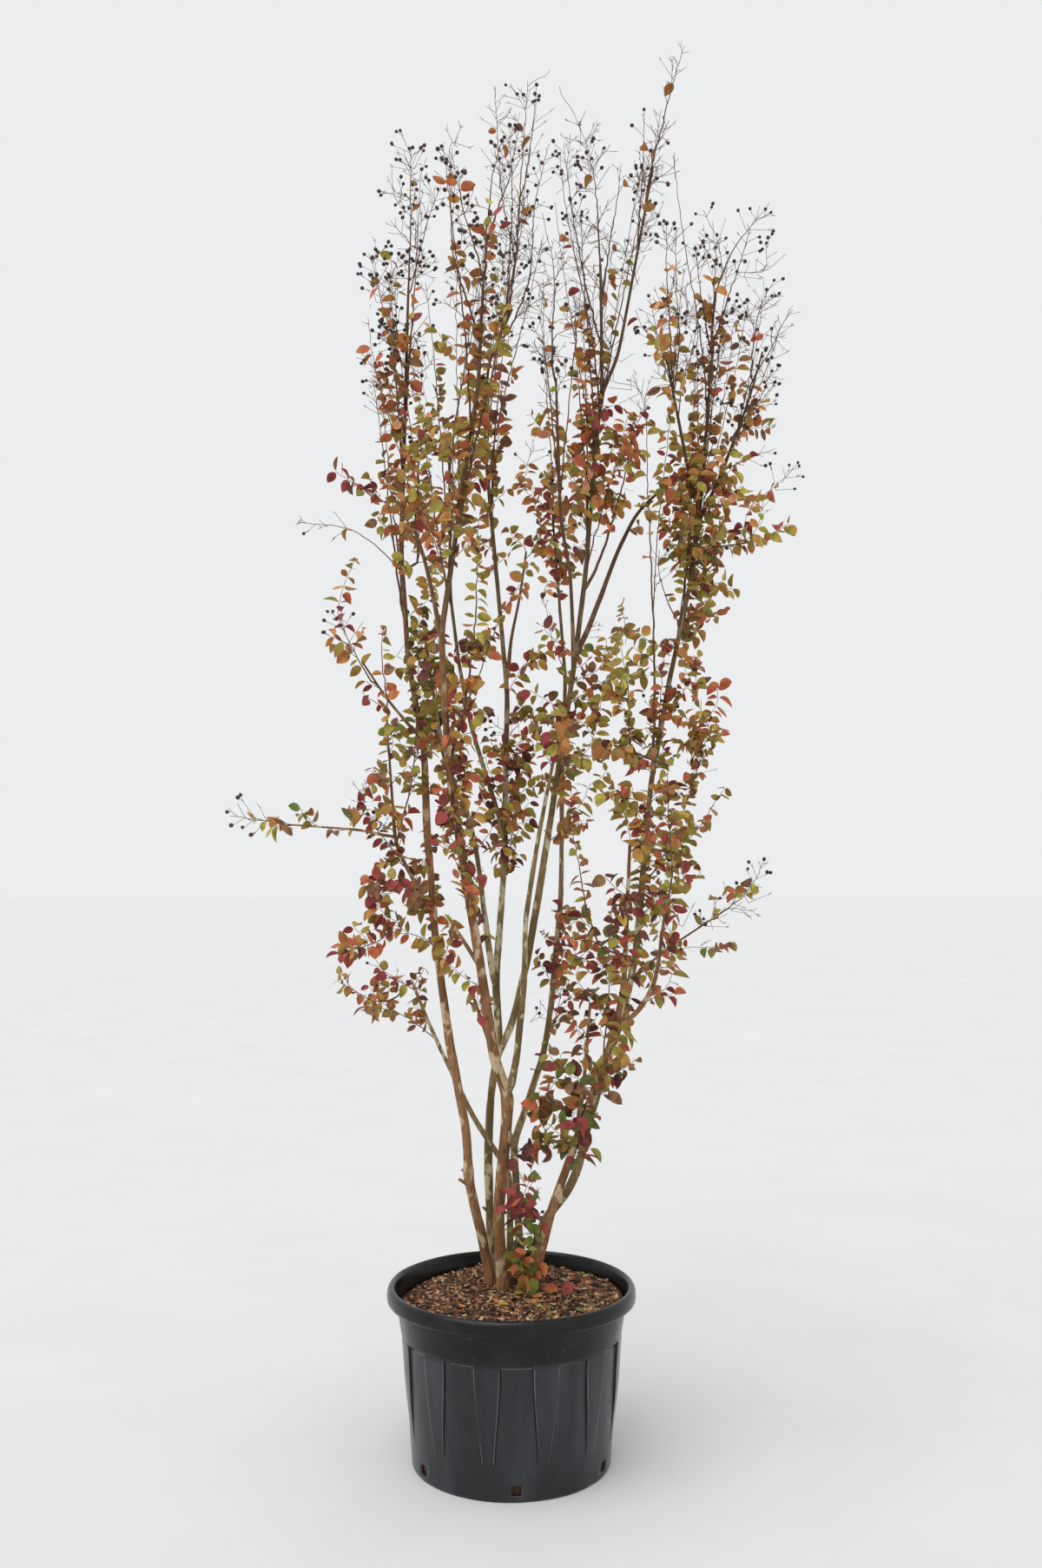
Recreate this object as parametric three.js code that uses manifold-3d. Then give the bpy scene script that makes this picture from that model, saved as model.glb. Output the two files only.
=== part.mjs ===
// A many-stemmed crape myrtle in autumn, standing in the round pot of compost it was grown in.
// Millimetres, +Z up. The origin is the middle of the pot's flat underside.
// Stems and boughs are single tapering limbs. Every mass of leaves or seed heads is one uneven
// solid, cut round the limbs that pass through it or end inside it.

import * as THREE from 'three';
import { mergeVertices } from 'three/addons/utils/BufferGeometryUtils.js';
import Module from 'manifold-3d';

const wasm = await Module();
wasm.setup();

// ---------------------------------------------------------------- driving dimensions

const GAP = 0.3; // running gap between pieces that touch

const POT = {
  height: 506,
  baseRadius: 290,
  baseThickness: 6,
  baseRound: 8,
  wall: 5,
  wallTopHeight: 365, // where the tapering wall steps out into the band
  wallTopRadius: 316,
  bandFootHeight: 373,
  bandFootRadius: 323,
  bandTopHeight: 460,
  bandTopRadius: 337,
  rimRadius: 365,
  rimCrestRadius: 351,
  rimInnerRadius: 341,
  sides: 24,
};

const DRAIN = { count: 6, width: 26, height: 28, sill: 19, turn: 3 };

const COMPOST = { crown: 476, crownRadius: 235, edge: 466 };

const SOIL = COMPOST.crown + GAP; // level of the flat cut under every stem

const LIMB = { sides: 6, flareHeight: 60, flareGain: 0.45 };

// Stems rise out of the compost. Each path is a run of bends, [x, y, height], and the limb
// tapers evenly from its foot diameter to its tip diameter.
const STEMS = [
  {
    name: 'stem_left',
    foot: 33,
    tip: 7,
    path: [
      [-60, 80, SOIL], [-90, 65, 630], [-125, 50, 770], [-135, 30, 945], [-185, 0, 1205],
      [-225, -25, 1515], [-250, -35, 1825], [-260, -40, 2080], [-310, -20, 2345], [-335, 10, 2665],
      [-325, 120, 3540],
    ],
  },
  {
    name: 'stem_front',
    foot: 38,
    tip: 7,
    path: [
      [-25, 30, SOIL], [-38, 0, 660], [-38, -12, 730], [-15, -50, 960], [-10, -70, 1060],
      [-50, -95, 1170], [-85, -140, 1420], [-135, -195, 1720], [-180, -250, 2040], [-195, -303, 2380],
      [-90, -365, 3070], [-75, -385, 3380],
    ],
  },
  {
    name: 'stem_back',
    foot: 28,
    tip: 7,
    path: [
      [-62, 130, SOIL], [-72, 125, 850], [-65, 130, 1030], [-38, 140, 1200], [-50, 150, 1370],
      [-25, 180, 1720], [-15, 230, 2265], [-90, 285, 3090], [-80, 300, 3355], [0, 320, 3550],
    ],
  },
  {
    name: 'stem_centre',
    foot: 25,
    tip: 7,
    path: [
      [32, 112, SOIL], [18, 138, 680], [5, 168, 880], [40, 185, 970], [100, 215, 1150],
      [122, 237, 1290], [155, 275, 1620], [160, 310, 1995], [172, 345, 2335], [130, 385, 2905],
    ],
  },
  {
    name: 'stem_back_left',
    foot: 22,
    tip: 9,
    path: [
      [-5, 155, SOIL], [-5, 175, 655], [-5, 195, 780], [-120, 240, 940], [-255, 315, 1200],
      [-325, 350, 1360],
    ],
  },
  {
    name: 'stem_right',
    foot: 33,
    tip: 9,
    path: [
      [28, 8, SOIL], [70, -8, 545], [115, -45, 720], [165, -75, 865], [235, -135, 1085],
      [290, -175, 1245], [318, -205, 1380], [332, -280, 1790],
    ],
  },
  {
    name: 'stem_outer_right',
    foot: 28,
    tip: 8,
    path: [
      [62, 72, SOIL], [72, 83, 600], [105, 90, 682], [155, 95, 725], [200, 100, 810],
      [230, 110, 945], [305, 120, 1175], [345, 122, 1295], [380, 125, 1460], [430, 140, 1985],
      [495, 150, 2330], [565, 155, 2640], [590, 160, 2850], [635, 170, 3365],
    ],
  },
];

// Boughs spring from the middle of the limb named in `from` and end inside a mass.
const BOUGHS = [
  {
    name: 'bough_left',
    from: 'stem_left',
    foot: 17,
    tip: 7,
    path: [[-229, -27, 1570], [-305, -65, 1720], [-340, -80, 1785], [-355, -130, 2050]],
  },
  {
    name: 'bough_left_low',
    from: 'bough_left',
    foot: 9,
    tip: 5,
    path: [[-341, -84, 1808], [-425, -140, 1832], [-620, -240, 1845]],
  },
  {
    name: 'bough_left_high',
    from: 'stem_left',
    foot: 10,
    tip: 6,
    path: [[-263, -39, 2098], [-365, -70, 2215], [-440, -102, 2330]],
  },
  {
    name: 'bough_front_fork',
    from: 'stem_front',
    foot: 15,
    tip: 8,
    path: [[-194, -300, 2360], [-215, -298, 2470], [-250, -270, 2615], [-285, -245, 2710]],
  },
  {
    name: 'bough_front_right',
    from: 'stem_front',
    foot: 21,
    tip: 9,
    path: [
      [-11, -68, 1050], [15, -110, 1165], [38, -180, 1400], [40, -230, 1575], [75, -290, 1800],
      [105, -340, 1960], [130, -365, 2080],
    ],
  },
  {
    name: 'bough_back_left',
    from: 'stem_back',
    foot: 17,
    tip: 8,
    path: [[-23, 190, 1825], [-130, 238, 2165], [-170, 265, 2370], [-200, 290, 2600], [-205, 310, 3130]],
  },
  {
    name: 'bough_back_right',
    from: 'stem_back',
    foot: 12,
    tip: 7,
    path: [[-16, 231, 2280], [-6, 243, 2440], [25, 268, 2590], [45, 290, 2740]],
  },
  {
    name: 'bough_middle_left',
    from: 'stem_back',
    foot: 21,
    tip: 9,
    path: [
      [-47, 148, 1330], [-68, 125, 1450], [-105, 85, 1760], [-137, 60, 1900], [-205, 40, 2045],
      [-260, 10, 2400],
    ],
  },
  {
    name: 'bough_tall',
    from: 'stem_back',
    foot: 24,
    tip: 8,
    path: [
      [-45, 138, 1155], [0, 125, 1240], [45, 115, 1430], [80, 105, 1625], [130, 110, 1945],
      [170, 115, 2200], [195, 112, 2370], [225, 105, 2605], [280, 90, 3225], [275, 85, 3600],
    ],
  },
  {
    name: 'bough_tall_left',
    from: 'bough_tall',
    foot: 14,
    tip: 7,
    path: [[191, 112, 2345], [186, 80, 2470], [178, 35, 2620], [148, -5, 2760], [130, -150, 3160]],
  },
  {
    name: 'bough_tall_outer',
    from: 'bough_tall',
    foot: 17,
    tip: 9,
    path: [[195, 112, 2372], [240, 150, 2470], [335, 220, 2725], [400, 255, 2860], [490, 270, 2945]],
  },
  {
    name: 'bough_tall_right',
    from: 'bough_tall',
    foot: 11,
    tip: 6,
    path: [[276, 91, 3180], [330, 85, 3310], [400, 75, 3685], [440, 70, 3905]],
  },
  {
    name: 'bough_right_inner',
    from: 'stem_right',
    foot: 14,
    tip: 7,
    path: [[165, -76, 868], [195, -115, 1000], [212, -148, 1150], [225, -178, 1340]],
  },
  {
    name: 'bough_right_outer',
    from: 'stem_right',
    foot: 17,
    tip: 8,
    path: [[296, -182, 1275], [362, -202, 1315], [405, -245, 1405], [428, -288, 1600]],
  },
  {
    name: 'bough_right_low',
    from: 'stem_outer_right',
    foot: 9,
    tip: 5,
    path: [[363, 124, 1380], [475, 155, 1470], [540, 175, 1510], [660, 205, 1585]],
  },
  {
    name: 'bough_outer_left',
    from: 'stem_outer_right',
    foot: 13,
    tip: 7,
    path: [[589, 160, 2840], [545, 95, 2955], [460, -105, 3230]],
  },
  {
    name: 'bough_far_right',
    from: 'stem_outer_right',
    foot: 12,
    tip: 6,
    path: [[584, 159, 2800], [665, 210, 2970], [765, 270, 3230], [815, 298, 3400]],
  },
];

const FOLIAGE_COLOUR = {
  burgundy: 0x7a3a2e,
  orange: 0xb2683a,
  olive: 0x9a8a3a,
  green: 0x6f7a38,
  seeds: 0x5a4338,
};

// Masses: middle, half sizes [x, y, z], lean (sideways shift per unit of height) and how much
// narrower the top is than the foot. `fine` masses carry more facets.
const MASSES = [
  { name: 'shoots_at_foot', tint: 'orange', middle: [30, 68, 685], half: [55, 60, 175], taper: 0.3 },
  { name: 'shoots_low_right', tint: 'burgundy', middle: [165, -120, 1050], half: [110, 90, 170] },
  { name: 'leaves_low_left', tint: 'orange', middle: [-395, 325, 1330], half: [165, 120, 130], lean: [0.2, 0] },
  { name: 'leaves_inner_front', tint: 'burgundy', middle: [205, -185, 1425], half: [95, 90, 175] },
  { name: 'leaves_inner_back', tint: 'burgundy', middle: [160, 260, 1420], half: [110, 115, 205] },
  {
    name: 'leaves_right_front',
    tint: 'burgundy',
    middle: [370, -265, 1600],
    half: [130, 120, 355],
    lean: [-0.05, -0.1],
  },
  {
    name: 'leaves_right_back',
    tint: 'burgundy',
    middle: [450, 140, 1620],
    half: [140, 125, 360],
    lean: [0.08, 0.05],
  },
  { name: 'twigs_right_low', tint: 'seeds', middle: [690, 220, 1600], half: [115, 95, 140], lean: [0.2, 0] },
  { name: 'leaves_left_middle', tint: 'orange', middle: [-335, -75, 1690], half: [155, 120, 160] },
  { name: 'leaves_centre_front', tint: 'orange', middle: [-145, -230, 1855], half: [82, 110, 205] },
  { name: 'leaves_centre_back', tint: 'orange', middle: [-5, 205, 1975], half: [100, 120, 310] },
  { name: 'twigs_far_left', tint: 'orange', middle: [-605, -235, 1850], half: [205, 65, 50] },
  { name: 'leaves_left_high', tint: 'orange', middle: [-345, -110, 2020], half: [140, 135, 170] },
  {
    name: 'leaves_right_middle',
    tint: 'orange',
    middle: [520, 160, 2240],
    half: [165, 135, 310],
    lean: [0.12, 0],
  },
  { name: 'leaves_front_tip', tint: 'orange', middle: [115, -370, 2120], half: [95, 90, 95] },
  { name: 'twigs_left_high', tint: 'seeds', middle: [-450, -105, 2350], half: [90, 85, 145], lean: [-0.2, 0] },
  { name: 'leaves_green_left', tint: 'green', middle: [-260, 5, 2415], half: [82, 110, 240] },
  { name: 'leaves_middle_right', tint: 'olive', middle: [325, 165, 2390], half: [120, 110, 140] },
  { name: 'leaves_left_upper', tint: 'orange', middle: [-325, -115, 2790], half: [160, 165, 215], fine: true },
  {
    name: 'leaves_upper_front',
    tint: 'olive',
    middle: [-140, -340, 2790],
    half: [120, 130, 290],
    lean: [0.1, 0],
    fine: true,
  },
  {
    name: 'leaves_upper_back',
    tint: 'olive',
    middle: [-30, 285, 3035],
    half: [145, 140, 395],
    lean: [-0.05, 0.05],
    fine: true,
  },
  { name: 'leaves_back_left', tint: 'olive', middle: [-245, 310, 3045], half: [110, 115, 270] },
  { name: 'leaves_back_tip', tint: 'olive', middle: [175, 390, 2890], half: [115, 115, 245] },
  { name: 'leaves_middle_upper', tint: 'orange', middle: [275, 60, 2975], half: [165, 165, 215], fine: true },
  { name: 'leaves_right_upper', tint: 'orange', middle: [615, 200, 2865], half: [235, 165, 215] },
  { name: 'seeds_left', tint: 'seeds', middle: [-345, 115, 3565], half: [130, 130, 490], taper: 0.1, fine: true },
  { name: 'seeds_front', tint: 'seeds', middle: [-105, -385, 3480], half: [115, 125, 400], taper: 0.1 },
  { name: 'seeds_back', tint: 'seeds', middle: [20, 325, 3895], half: [130, 130, 480], taper: 0.2, fine: true },
  { name: 'seeds_middle', tint: 'seeds', middle: [235, 85, 3670], half: [125, 125, 450], taper: 0.1, fine: true },
  { name: 'seeds_inner_left', tint: 'seeds', middle: [130, -150, 3300], half: [100, 110, 270], taper: 0.1 },
  { name: 'seeds_tall', tint: 'seeds', middle: [455, 70, 3960], half: [80, 105, 350], taper: 0.3, lean: [0.15, 0] },
  { name: 'seeds_inner_right', tint: 'seeds', middle: [460, -120, 3370], half: [115, 115, 300], taper: 0.1 },
  { name: 'seeds_right', tint: 'seeds', middle: [655, 175, 3450], half: [110, 115, 410], taper: 0.1 },
  { name: 'seeds_far_right', tint: 'seeds', middle: [820, 300, 3490], half: [85, 115, 385], lean: [0.05, 0] },
];

const MASS_SHAPE = { lumps: 0.34, fullness: 0.3, coarse: 1, fine: 2 };

// ---------------------------------------------------------------- solids and cuts

/** A closed three.js geometry as a solid that can be cut. */
function toSolid(geometry) {
  geometry.deleteAttribute('normal');
  geometry.deleteAttribute('uv');
  const merged = mergeVertices(geometry);
  return new wasm.Manifold(
    new wasm.Mesh({
      numProp: 3,
      vertProperties: merged.attributes.position.array,
      triVerts: new Uint32Array(merged.index.array),
    }),
  );
}

/** The largest closed body of a cut solid, so a sliver nicked off its side falls away. */
function toGeometry(solid) {
  const { vertProperties, triVerts } = solid.getMesh();
  const parent = Array.from({ length: vertProperties.length / 3 }, (_, i) => i);
  const rootOf = (i) => {
    while (parent[i] !== i) i = parent[i] = parent[parent[i]];
    return i;
  };
  for (let i = 0; i < triVerts.length; i += 3) {
    parent[rootOf(triVerts[i])] = rootOf(triVerts[i + 1]);
    parent[rootOf(triVerts[i + 1])] = rootOf(triVerts[i + 2]);
  }
  const bodies = new Map();
  for (let i = 0; i < triVerts.length; i += 3) {
    const body = rootOf(triVerts[i]);
    if (!bodies.has(body)) bodies.set(body, []);
    bodies.get(body).push(triVerts[i], triVerts[i + 1], triVerts[i + 2]);
  }
  const largest = [...bodies.values()].sort((a, b) => b.length - a.length)[0];
  const geometry = new THREE.BufferGeometry();
  geometry.setAttribute('position', new THREE.BufferAttribute(new Float32Array(vertProperties), 3));
  geometry.setIndex(largest);
  const flat = geometry.toNonIndexed();
  flat.computeVertexNormals();
  return flat;
}

/** The solid less each of the others that its box meets. */
function cutRound(entry, others) {
  return others
    .filter((other) => entry.box.intersectsBox(other.box))
    .reduce((rest, other) => rest.subtract(other.fat), entry.solid);
}

const tree = new THREE.Group();

function addNode(name, geometry, colour, roughness) {
  const material = new THREE.MeshStandardMaterial({ color: colour, roughness, metalness: 0 });
  const mesh = new THREE.Mesh(geometry, material);
  mesh.name = name;
  tree.add(mesh);
}

// ---------------------------------------------------------------- pot and compost

/** Radius of the pot's inner face, less `clearance`, at each height where its slope changes. */
function potInside(clearance) {
  return [
    [POT.baseRadius - POT.wall - clearance, POT.baseThickness + clearance],
    [POT.wallTopRadius - POT.wall - clearance, POT.wallTopHeight],
    [POT.bandFootRadius - POT.wall - clearance, POT.bandFootHeight],
    [POT.bandTopRadius - POT.wall - clearance, POT.bandTopHeight],
  ];
}

function lathe(profile) {
  return new THREE.LatheGeometry(
    profile.map(([radius, height]) => new THREE.Vector2(radius, height)),
    POT.sides,
  ).rotateX(Math.PI / 2);
}

function potSolid() {
  const outside = [
    [0, 0],
    [POT.baseRadius - POT.baseRound, 0],
    [POT.baseRadius, POT.baseRound],
    [POT.wallTopRadius, POT.wallTopHeight],
    [POT.bandFootRadius, POT.bandFootHeight],
    [POT.bandTopRadius, POT.bandTopHeight],
  ];
  const rim = [
    [POT.rimRadius - 3, POT.bandTopHeight],
    [POT.rimRadius, POT.bandTopHeight + 8],
    [POT.rimRadius, POT.height - 16],
    [POT.rimRadius - 6, POT.height - 3],
    [POT.rimCrestRadius, POT.height],
    [POT.rimInnerRadius, POT.height - 8],
  ];
  const inside = potInside(0).reverse();
  const shell = toSolid(lathe([...outside, ...rim, ...inside, [0, POT.baseThickness]]));
  return drainHoles().reduce((rest, hole) => rest.subtract(hole), shell);
}

/** Square holes through the foot of the wall, evenly spaced round it. */
function drainHoles() {
  return Array.from({ length: DRAIN.count }, (_, i) => {
    const hole = new THREE.BoxGeometry(DRAIN.width, 4 * POT.wall, DRAIN.height);
    hole.translate(0, -POT.baseRadius, DRAIN.sill + DRAIN.height / 2);
    const turn = THREE.MathUtils.degToRad(DRAIN.turn + (360 * i) / DRAIN.count);
    return toSolid(hole.rotateZ(turn));
  });
}

function compostSolid() {
  const profile = [
    [0, POT.baseThickness + GAP],
    ...potInside(GAP),
    [potInside(GAP)[3][0], COMPOST.edge],
    [COMPOST.crownRadius, COMPOST.crown],
    [0, COMPOST.crown],
  ];
  return toSolid(lathe(profile));
}

addNode('pot', toGeometry(potSolid()), 0x2d2f31, 0.45);
addNode('compost', toGeometry(compostSolid()), 0x4a3626, 0.95);

// ---------------------------------------------------------------- limbs

/** One tapering limb: a closed tube with a ring at every bend. `extra` fattens it all round. */
function limbGeometry(limb, extra) {
  const bends = limb.path.map(([x, y, z]) => new THREE.Vector3(x, y, z));
  const flared = limb.path[0][2] === SOIL;
  if (flared) {
    const rise = LIMB.flareHeight / bends[0].distanceTo(bends[1]);
    bends.splice(1, 0, ...[rise / 3, rise].map((t) => bends[0].clone().lerp(bends[1], t)));
  }
  const last = bends.length - 1;
  const ways = bends.slice(1).map((bend, i) => bend.clone().sub(bends[i]).normalize());
  const lengths = [0];
  for (let i = 1; i <= last; i += 1) lengths.push(lengths[i - 1] + bends[i].distanceTo(bends[i - 1]));
  let side = new THREE.Vector3(1, 0, 0);
  const rings = bends.map((bend, i) => {
    const along = ways[Math.max(i - 1, 0)].clone().add(ways[Math.min(i, last - 1)]).normalize();
    if (flared && i === 0) along.set(0, 0, 1);
    side = side.clone().addScaledVector(along, -side.dot(along)).normalize();
    const centre = bend.clone();
    if (i === last) centre.addScaledVector(along, extra);
    if (i === 0) centre.addScaledVector(along, -extra);
    const flare = flared ? LIMB.flareGain * Math.exp((-3 * lengths[i]) / LIMB.flareHeight) : 0;
    const girth = THREE.MathUtils.lerp(limb.foot, limb.tip, lengths[i] / lengths[last]);
    return { centre, side, across: side.clone().cross(along), radius: (girth / 2) * (1 + flare) + extra };
  });
  const geometry = new THREE.CylinderGeometry(1, 1, 1, LIMB.sides, last);
  const position = geometry.attributes.position;
  for (let i = 0; i < position.count; i += 1) {
    const ring = rings[Math.round((position.getY(i) + 0.5) * last)];
    const point = ring.centre
      .clone()
      .addScaledVector(ring.side, position.getX(i) * ring.radius)
      .addScaledVector(ring.across, position.getZ(i) * ring.radius);
    position.setXYZ(i, point.x, point.y, point.z);
  }
  return geometry;
}

/** A cuttable piece with its box and the slightly fatter copy that its neighbours are cut by. */
function cuttable(name, makeGeometry) {
  const geometry = makeGeometry(0);
  geometry.computeBoundingBox();
  const box = geometry.boundingBox.clone().expandByScalar(2 * GAP);
  return { name, box, solid: toSolid(geometry), fat: toSolid(makeGeometry(GAP)) };
}

const limbs = [...STEMS, ...BOUGHS].map((limb) =>
  Object.assign(
    cuttable(limb.name, (extra) => limbGeometry(limb, extra)),
    { from: limb.from },
  ),
);

limbs.forEach((limb) => {
  const carrier = limbs.filter((other) => other.name === limb.from);
  addNode(limb.name, toGeometry(cutRound(limb, carrier)), 0x8a6a4c, 0.75);
});

// ---------------------------------------------------------------- masses of leaves and seed heads

/** How far the surface of a mass lies from its middle along `way`, from rolling lumps. */
function lumpiness(way, turn) {
  const rolls =
    Math.sin(3.1 * way.x + 2.3 * way.z + turn) +
    Math.sin(4.3 * way.y - 3.7 * way.z + 2.1 * turn) +
    Math.sin(5.3 * way.z + 3.9 * way.x - 2.9 * way.y + 3.3 * turn);
  return 1 + (MASS_SHAPE.lumps * rolls) / 3;
}

/** An uneven plump ball, stretched to fill its half sizes exactly, then leant over. */
function massGeometry(mass, turn, extra) {
  const { middle, half, lean = [0, 0], taper = 0 } = mass;
  const geometry = new THREE.IcosahedronGeometry(1, mass.fine ? MASS_SHAPE.fine : MASS_SHAPE.coarse);
  const position = geometry.attributes.position;
  const way = new THREE.Vector3();
  for (let i = 0; i < position.count; i += 1) {
    way.fromBufferAttribute(position, i);
    const reach = lumpiness(way, turn);
    const slim = Math.max(Math.hypot(way.x, way.y), 0.05);
    const girth = (reach * (1 - taper * way.z)) / slim ** MASS_SHAPE.fullness;
    position.setXYZ(i, way.x * girth, way.y * girth, way.z * reach);
  }
  geometry.center();
  const size = geometry.boundingBox.getSize(new THREE.Vector3());
  const [halfX, halfY, halfZ] = half.map((value) => value + extra);
  geometry.scale((2 * halfX) / size.x, (2 * halfY) / size.y, (2 * halfZ) / size.z);
  geometry.applyMatrix4(new THREE.Matrix4().makeShear(0, 0, 0, 0, lean[0], lean[1]));
  return geometry.translate(...middle);
}

const masses = MASSES.map((mass, i) =>
  Object.assign(
    cuttable(mass.name, (extra) => massGeometry(mass, i, 2 * extra)),
    { tint: mass.tint },
  ),
);

masses.forEach((mass, i) => {
  const neighbours = [...limbs, ...masses.slice(0, i)];
  addNode(mass.name, toGeometry(cutRound(mass, neighbours)), FOLIAGE_COLOUR[mass.tint], 0.9);
});

export default tree;
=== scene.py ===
"""A crape myrtle in autumn, many-stemmed, in the black nursery pot it was grown in.

Metres, +Z up, the origin in the middle of the pot's flat underside, the full side towards -Y.
"""

import math
import random

import bmesh
import bpy
import numpy as np
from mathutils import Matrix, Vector, noise
from mathutils.bvhtree import BVHTree


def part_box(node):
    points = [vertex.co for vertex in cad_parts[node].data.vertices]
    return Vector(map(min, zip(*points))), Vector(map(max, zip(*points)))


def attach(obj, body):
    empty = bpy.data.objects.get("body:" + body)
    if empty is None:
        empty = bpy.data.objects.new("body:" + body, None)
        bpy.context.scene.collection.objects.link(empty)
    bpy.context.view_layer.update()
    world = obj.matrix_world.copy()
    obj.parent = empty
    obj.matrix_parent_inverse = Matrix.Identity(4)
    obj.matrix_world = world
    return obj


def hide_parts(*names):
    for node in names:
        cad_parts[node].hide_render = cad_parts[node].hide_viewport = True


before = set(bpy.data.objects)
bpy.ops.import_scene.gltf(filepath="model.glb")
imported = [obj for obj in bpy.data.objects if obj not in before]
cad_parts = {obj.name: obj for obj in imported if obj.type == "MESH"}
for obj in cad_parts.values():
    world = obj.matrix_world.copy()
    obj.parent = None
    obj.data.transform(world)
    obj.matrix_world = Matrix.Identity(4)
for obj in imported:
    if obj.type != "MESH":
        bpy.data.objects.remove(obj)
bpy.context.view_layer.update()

# ---------------------------------------------------------------- pot
# A deep round nursery pot moulded in charcoal black plastic. Twelve flutes stand proud of the
# tapering wall and run out towards the foot, a plain band carries the rolled rim that it is
# lifted by, and six square drain holes go through the foot of the wall.

POT_BASE_RADIUS = 0.290
POT_WALL_FOOT = 0.008
POT_WALL_TOP, POT_WALL_TOP_RADIUS = 0.365, 0.316
BAND_FOOT, BAND_FOOT_RADIUS = 0.373, 0.323
BAND_TOP, BAND_TOP_RADIUS = 0.460, 0.337
POT_SHELL = 0.005
POT_HEIGHT, RIM_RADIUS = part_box("pot")[1].z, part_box("pot")[1].x
RIM_DEPTH, RIM_LIP = 0.046, 0.010
DRAINS = (0.019, 0.033, 0.047)  # sill, middle and head of the drain holes
WALL_WAVER, FOOT_FRAY = 0.0012, 0.0016

# Angles round the pot are in degrees.
FLUTES = 12
FLUTE_TURN = 18.0
FLUTE_PROUD = 0.007
FLUTE_RUN_OUT = 0.055
FLUTE_HALF_TOP, FLUTE_HALF_FOOT = 6.5, 2.9
FLUTE_EDGE = 0.95
DRAIN_HALF_ANGLE = 2.57

# The rolled rim, in millimetres out from its edge and up from its foot.
RIM_OUTLINE = [
    (-28, 0), (-24, -2), (-10, 1), (-3.5, 3.5), (-1, 7), (0, 14), (0, 25), (-1.5, 34), (-5, 41),
    (-9.5, 45), (-14, 46), (-18.5, 44.5), (-22, 40), (-24, 34),
]

# Columns of faces in each flute's share of the wall, counted from the left, and their finish:
# plain, pale from wear and painted highlight, or near black as painted shade.
BESIDE_FLUTE = (0, 1, 2, 3, 18, 19, 20, 21)
FLUTE_STEPS = (4, 5, 16, 17)
FLUTE_CORNERS = (6, 7, 14, 15)
PLAIN, WORN_AND_HIGHLIGHT, SHADED_STEP = 0, 1, 2


def rgb(red, green, blue):
    """A colour named in screen values, as the linear values that a shader takes."""
    linear = [((c / 255 + 0.055) / 1.055) ** 2.4 for c in (red, green, blue)]
    return (*linear, 1.0)


def smoothstep(low, high, value):
    t = min(max((value - low) / (high - low), 0.0), 1.0)
    return t * t * (3 - 2 * t)


def make_piece(name, corners, faces, material, nodes, smooth=True):
    """One mesh piece that rides on the tree and stands for the named solids."""
    mesh = bpy.data.meshes.new(name)
    mesh.from_pydata([tuple(c) for c in corners], [], faces)
    mesh.validate()
    mesh.polygons.foreach_set("use_smooth", [smooth] * len(mesh.polygons))
    mesh.materials.append(material)
    piece = bpy.data.objects.new(name, mesh)
    bpy.context.scene.collection.objects.link(piece)
    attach(piece, "root")
    if nodes:
        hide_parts(*nodes)
    return piece


def wire(tree, *wires):
    """Links, each from a node's output to another node's input."""
    for source, output, target, socket in wires:
        tree.links.new(source.outputs[output], target.inputs[socket])


def mask_group(name, values):
    """A shader node group with the given inputs and one Mask, which steps softly from 0 to 1
    between From and To. What it measures at a place is still to be linked in."""
    group = bpy.data.node_groups.new(name, "ShaderNodeTree")
    for socket, value in values.items():
        made = group.interface.new_socket(socket, in_out="INPUT", socket_type="NodeSocketFloat")
        made.default_value = value
    group.interface.new_socket("Mask", in_out="OUTPUT", socket_type="NodeSocketFloat")
    kinds = ("NodeGroupInput", "ShaderNodeTexCoord", "ShaderNodeMapRange", "NodeGroupOutput")
    given, place, step, out = [group.nodes.new(kind) for kind in kinds]
    step.interpolation_type = "SMOOTHSTEP"
    wire(group, (given, "From", step, "From Min"), (given, "To", step, "From Max"))
    wire(group, (step, "Result", out, "Mask"))
    return group, given, place, step


def mottle_group():
    """Soft patches, as a mask from Low to High. Stretch below 1 draws them out upwards."""
    values = {"Scale": 10.0, "Stretch": 1.0, "From": 0.4, "To": 0.6, "Low": 0.0, "High": 1.0}
    group, given, place, step = mask_group("mottle", values)
    squeeze = group.nodes.new("ShaderNodeCombineXYZ")
    squeeze.inputs["X"].default_value = 1.0
    squeeze.inputs["Y"].default_value = 1.0
    stretched = group.nodes.new("ShaderNodeVectorMath")
    stretched.operation = "MULTIPLY"
    cloud = group.nodes.new("ShaderNodeTexNoise")
    cloud.inputs["Detail"].default_value = 4.0
    cloud.inputs["Roughness"].default_value = 0.55
    wire(group, (given, "Stretch", squeeze, "Z"), (squeeze, "Vector", stretched, 1))
    wire(group, (place, "Object", stretched, 0), (stretched, "Vector", cloud, "Vector"))
    wire(group, (given, "Scale", cloud, "Scale"), (cloud, "Fac", step, "Value"))
    wire(group, (given, "Low", step, "To Min"), (given, "High", step, "To Max"))
    return group


def height_group():
    """A mask that goes from 0 to 1 between two heights."""
    group, _, place, step = mask_group("height_mask", {"From": 0.0, "To": 1.0})
    split = group.nodes.new("ShaderNodeSeparateXYZ")
    wire(group, (place, "Object", split, "Vector"), (split, "Z", step, "Value"))
    return group


MOTTLE = mottle_group()
HEIGHT_MASK = height_group()


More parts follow.
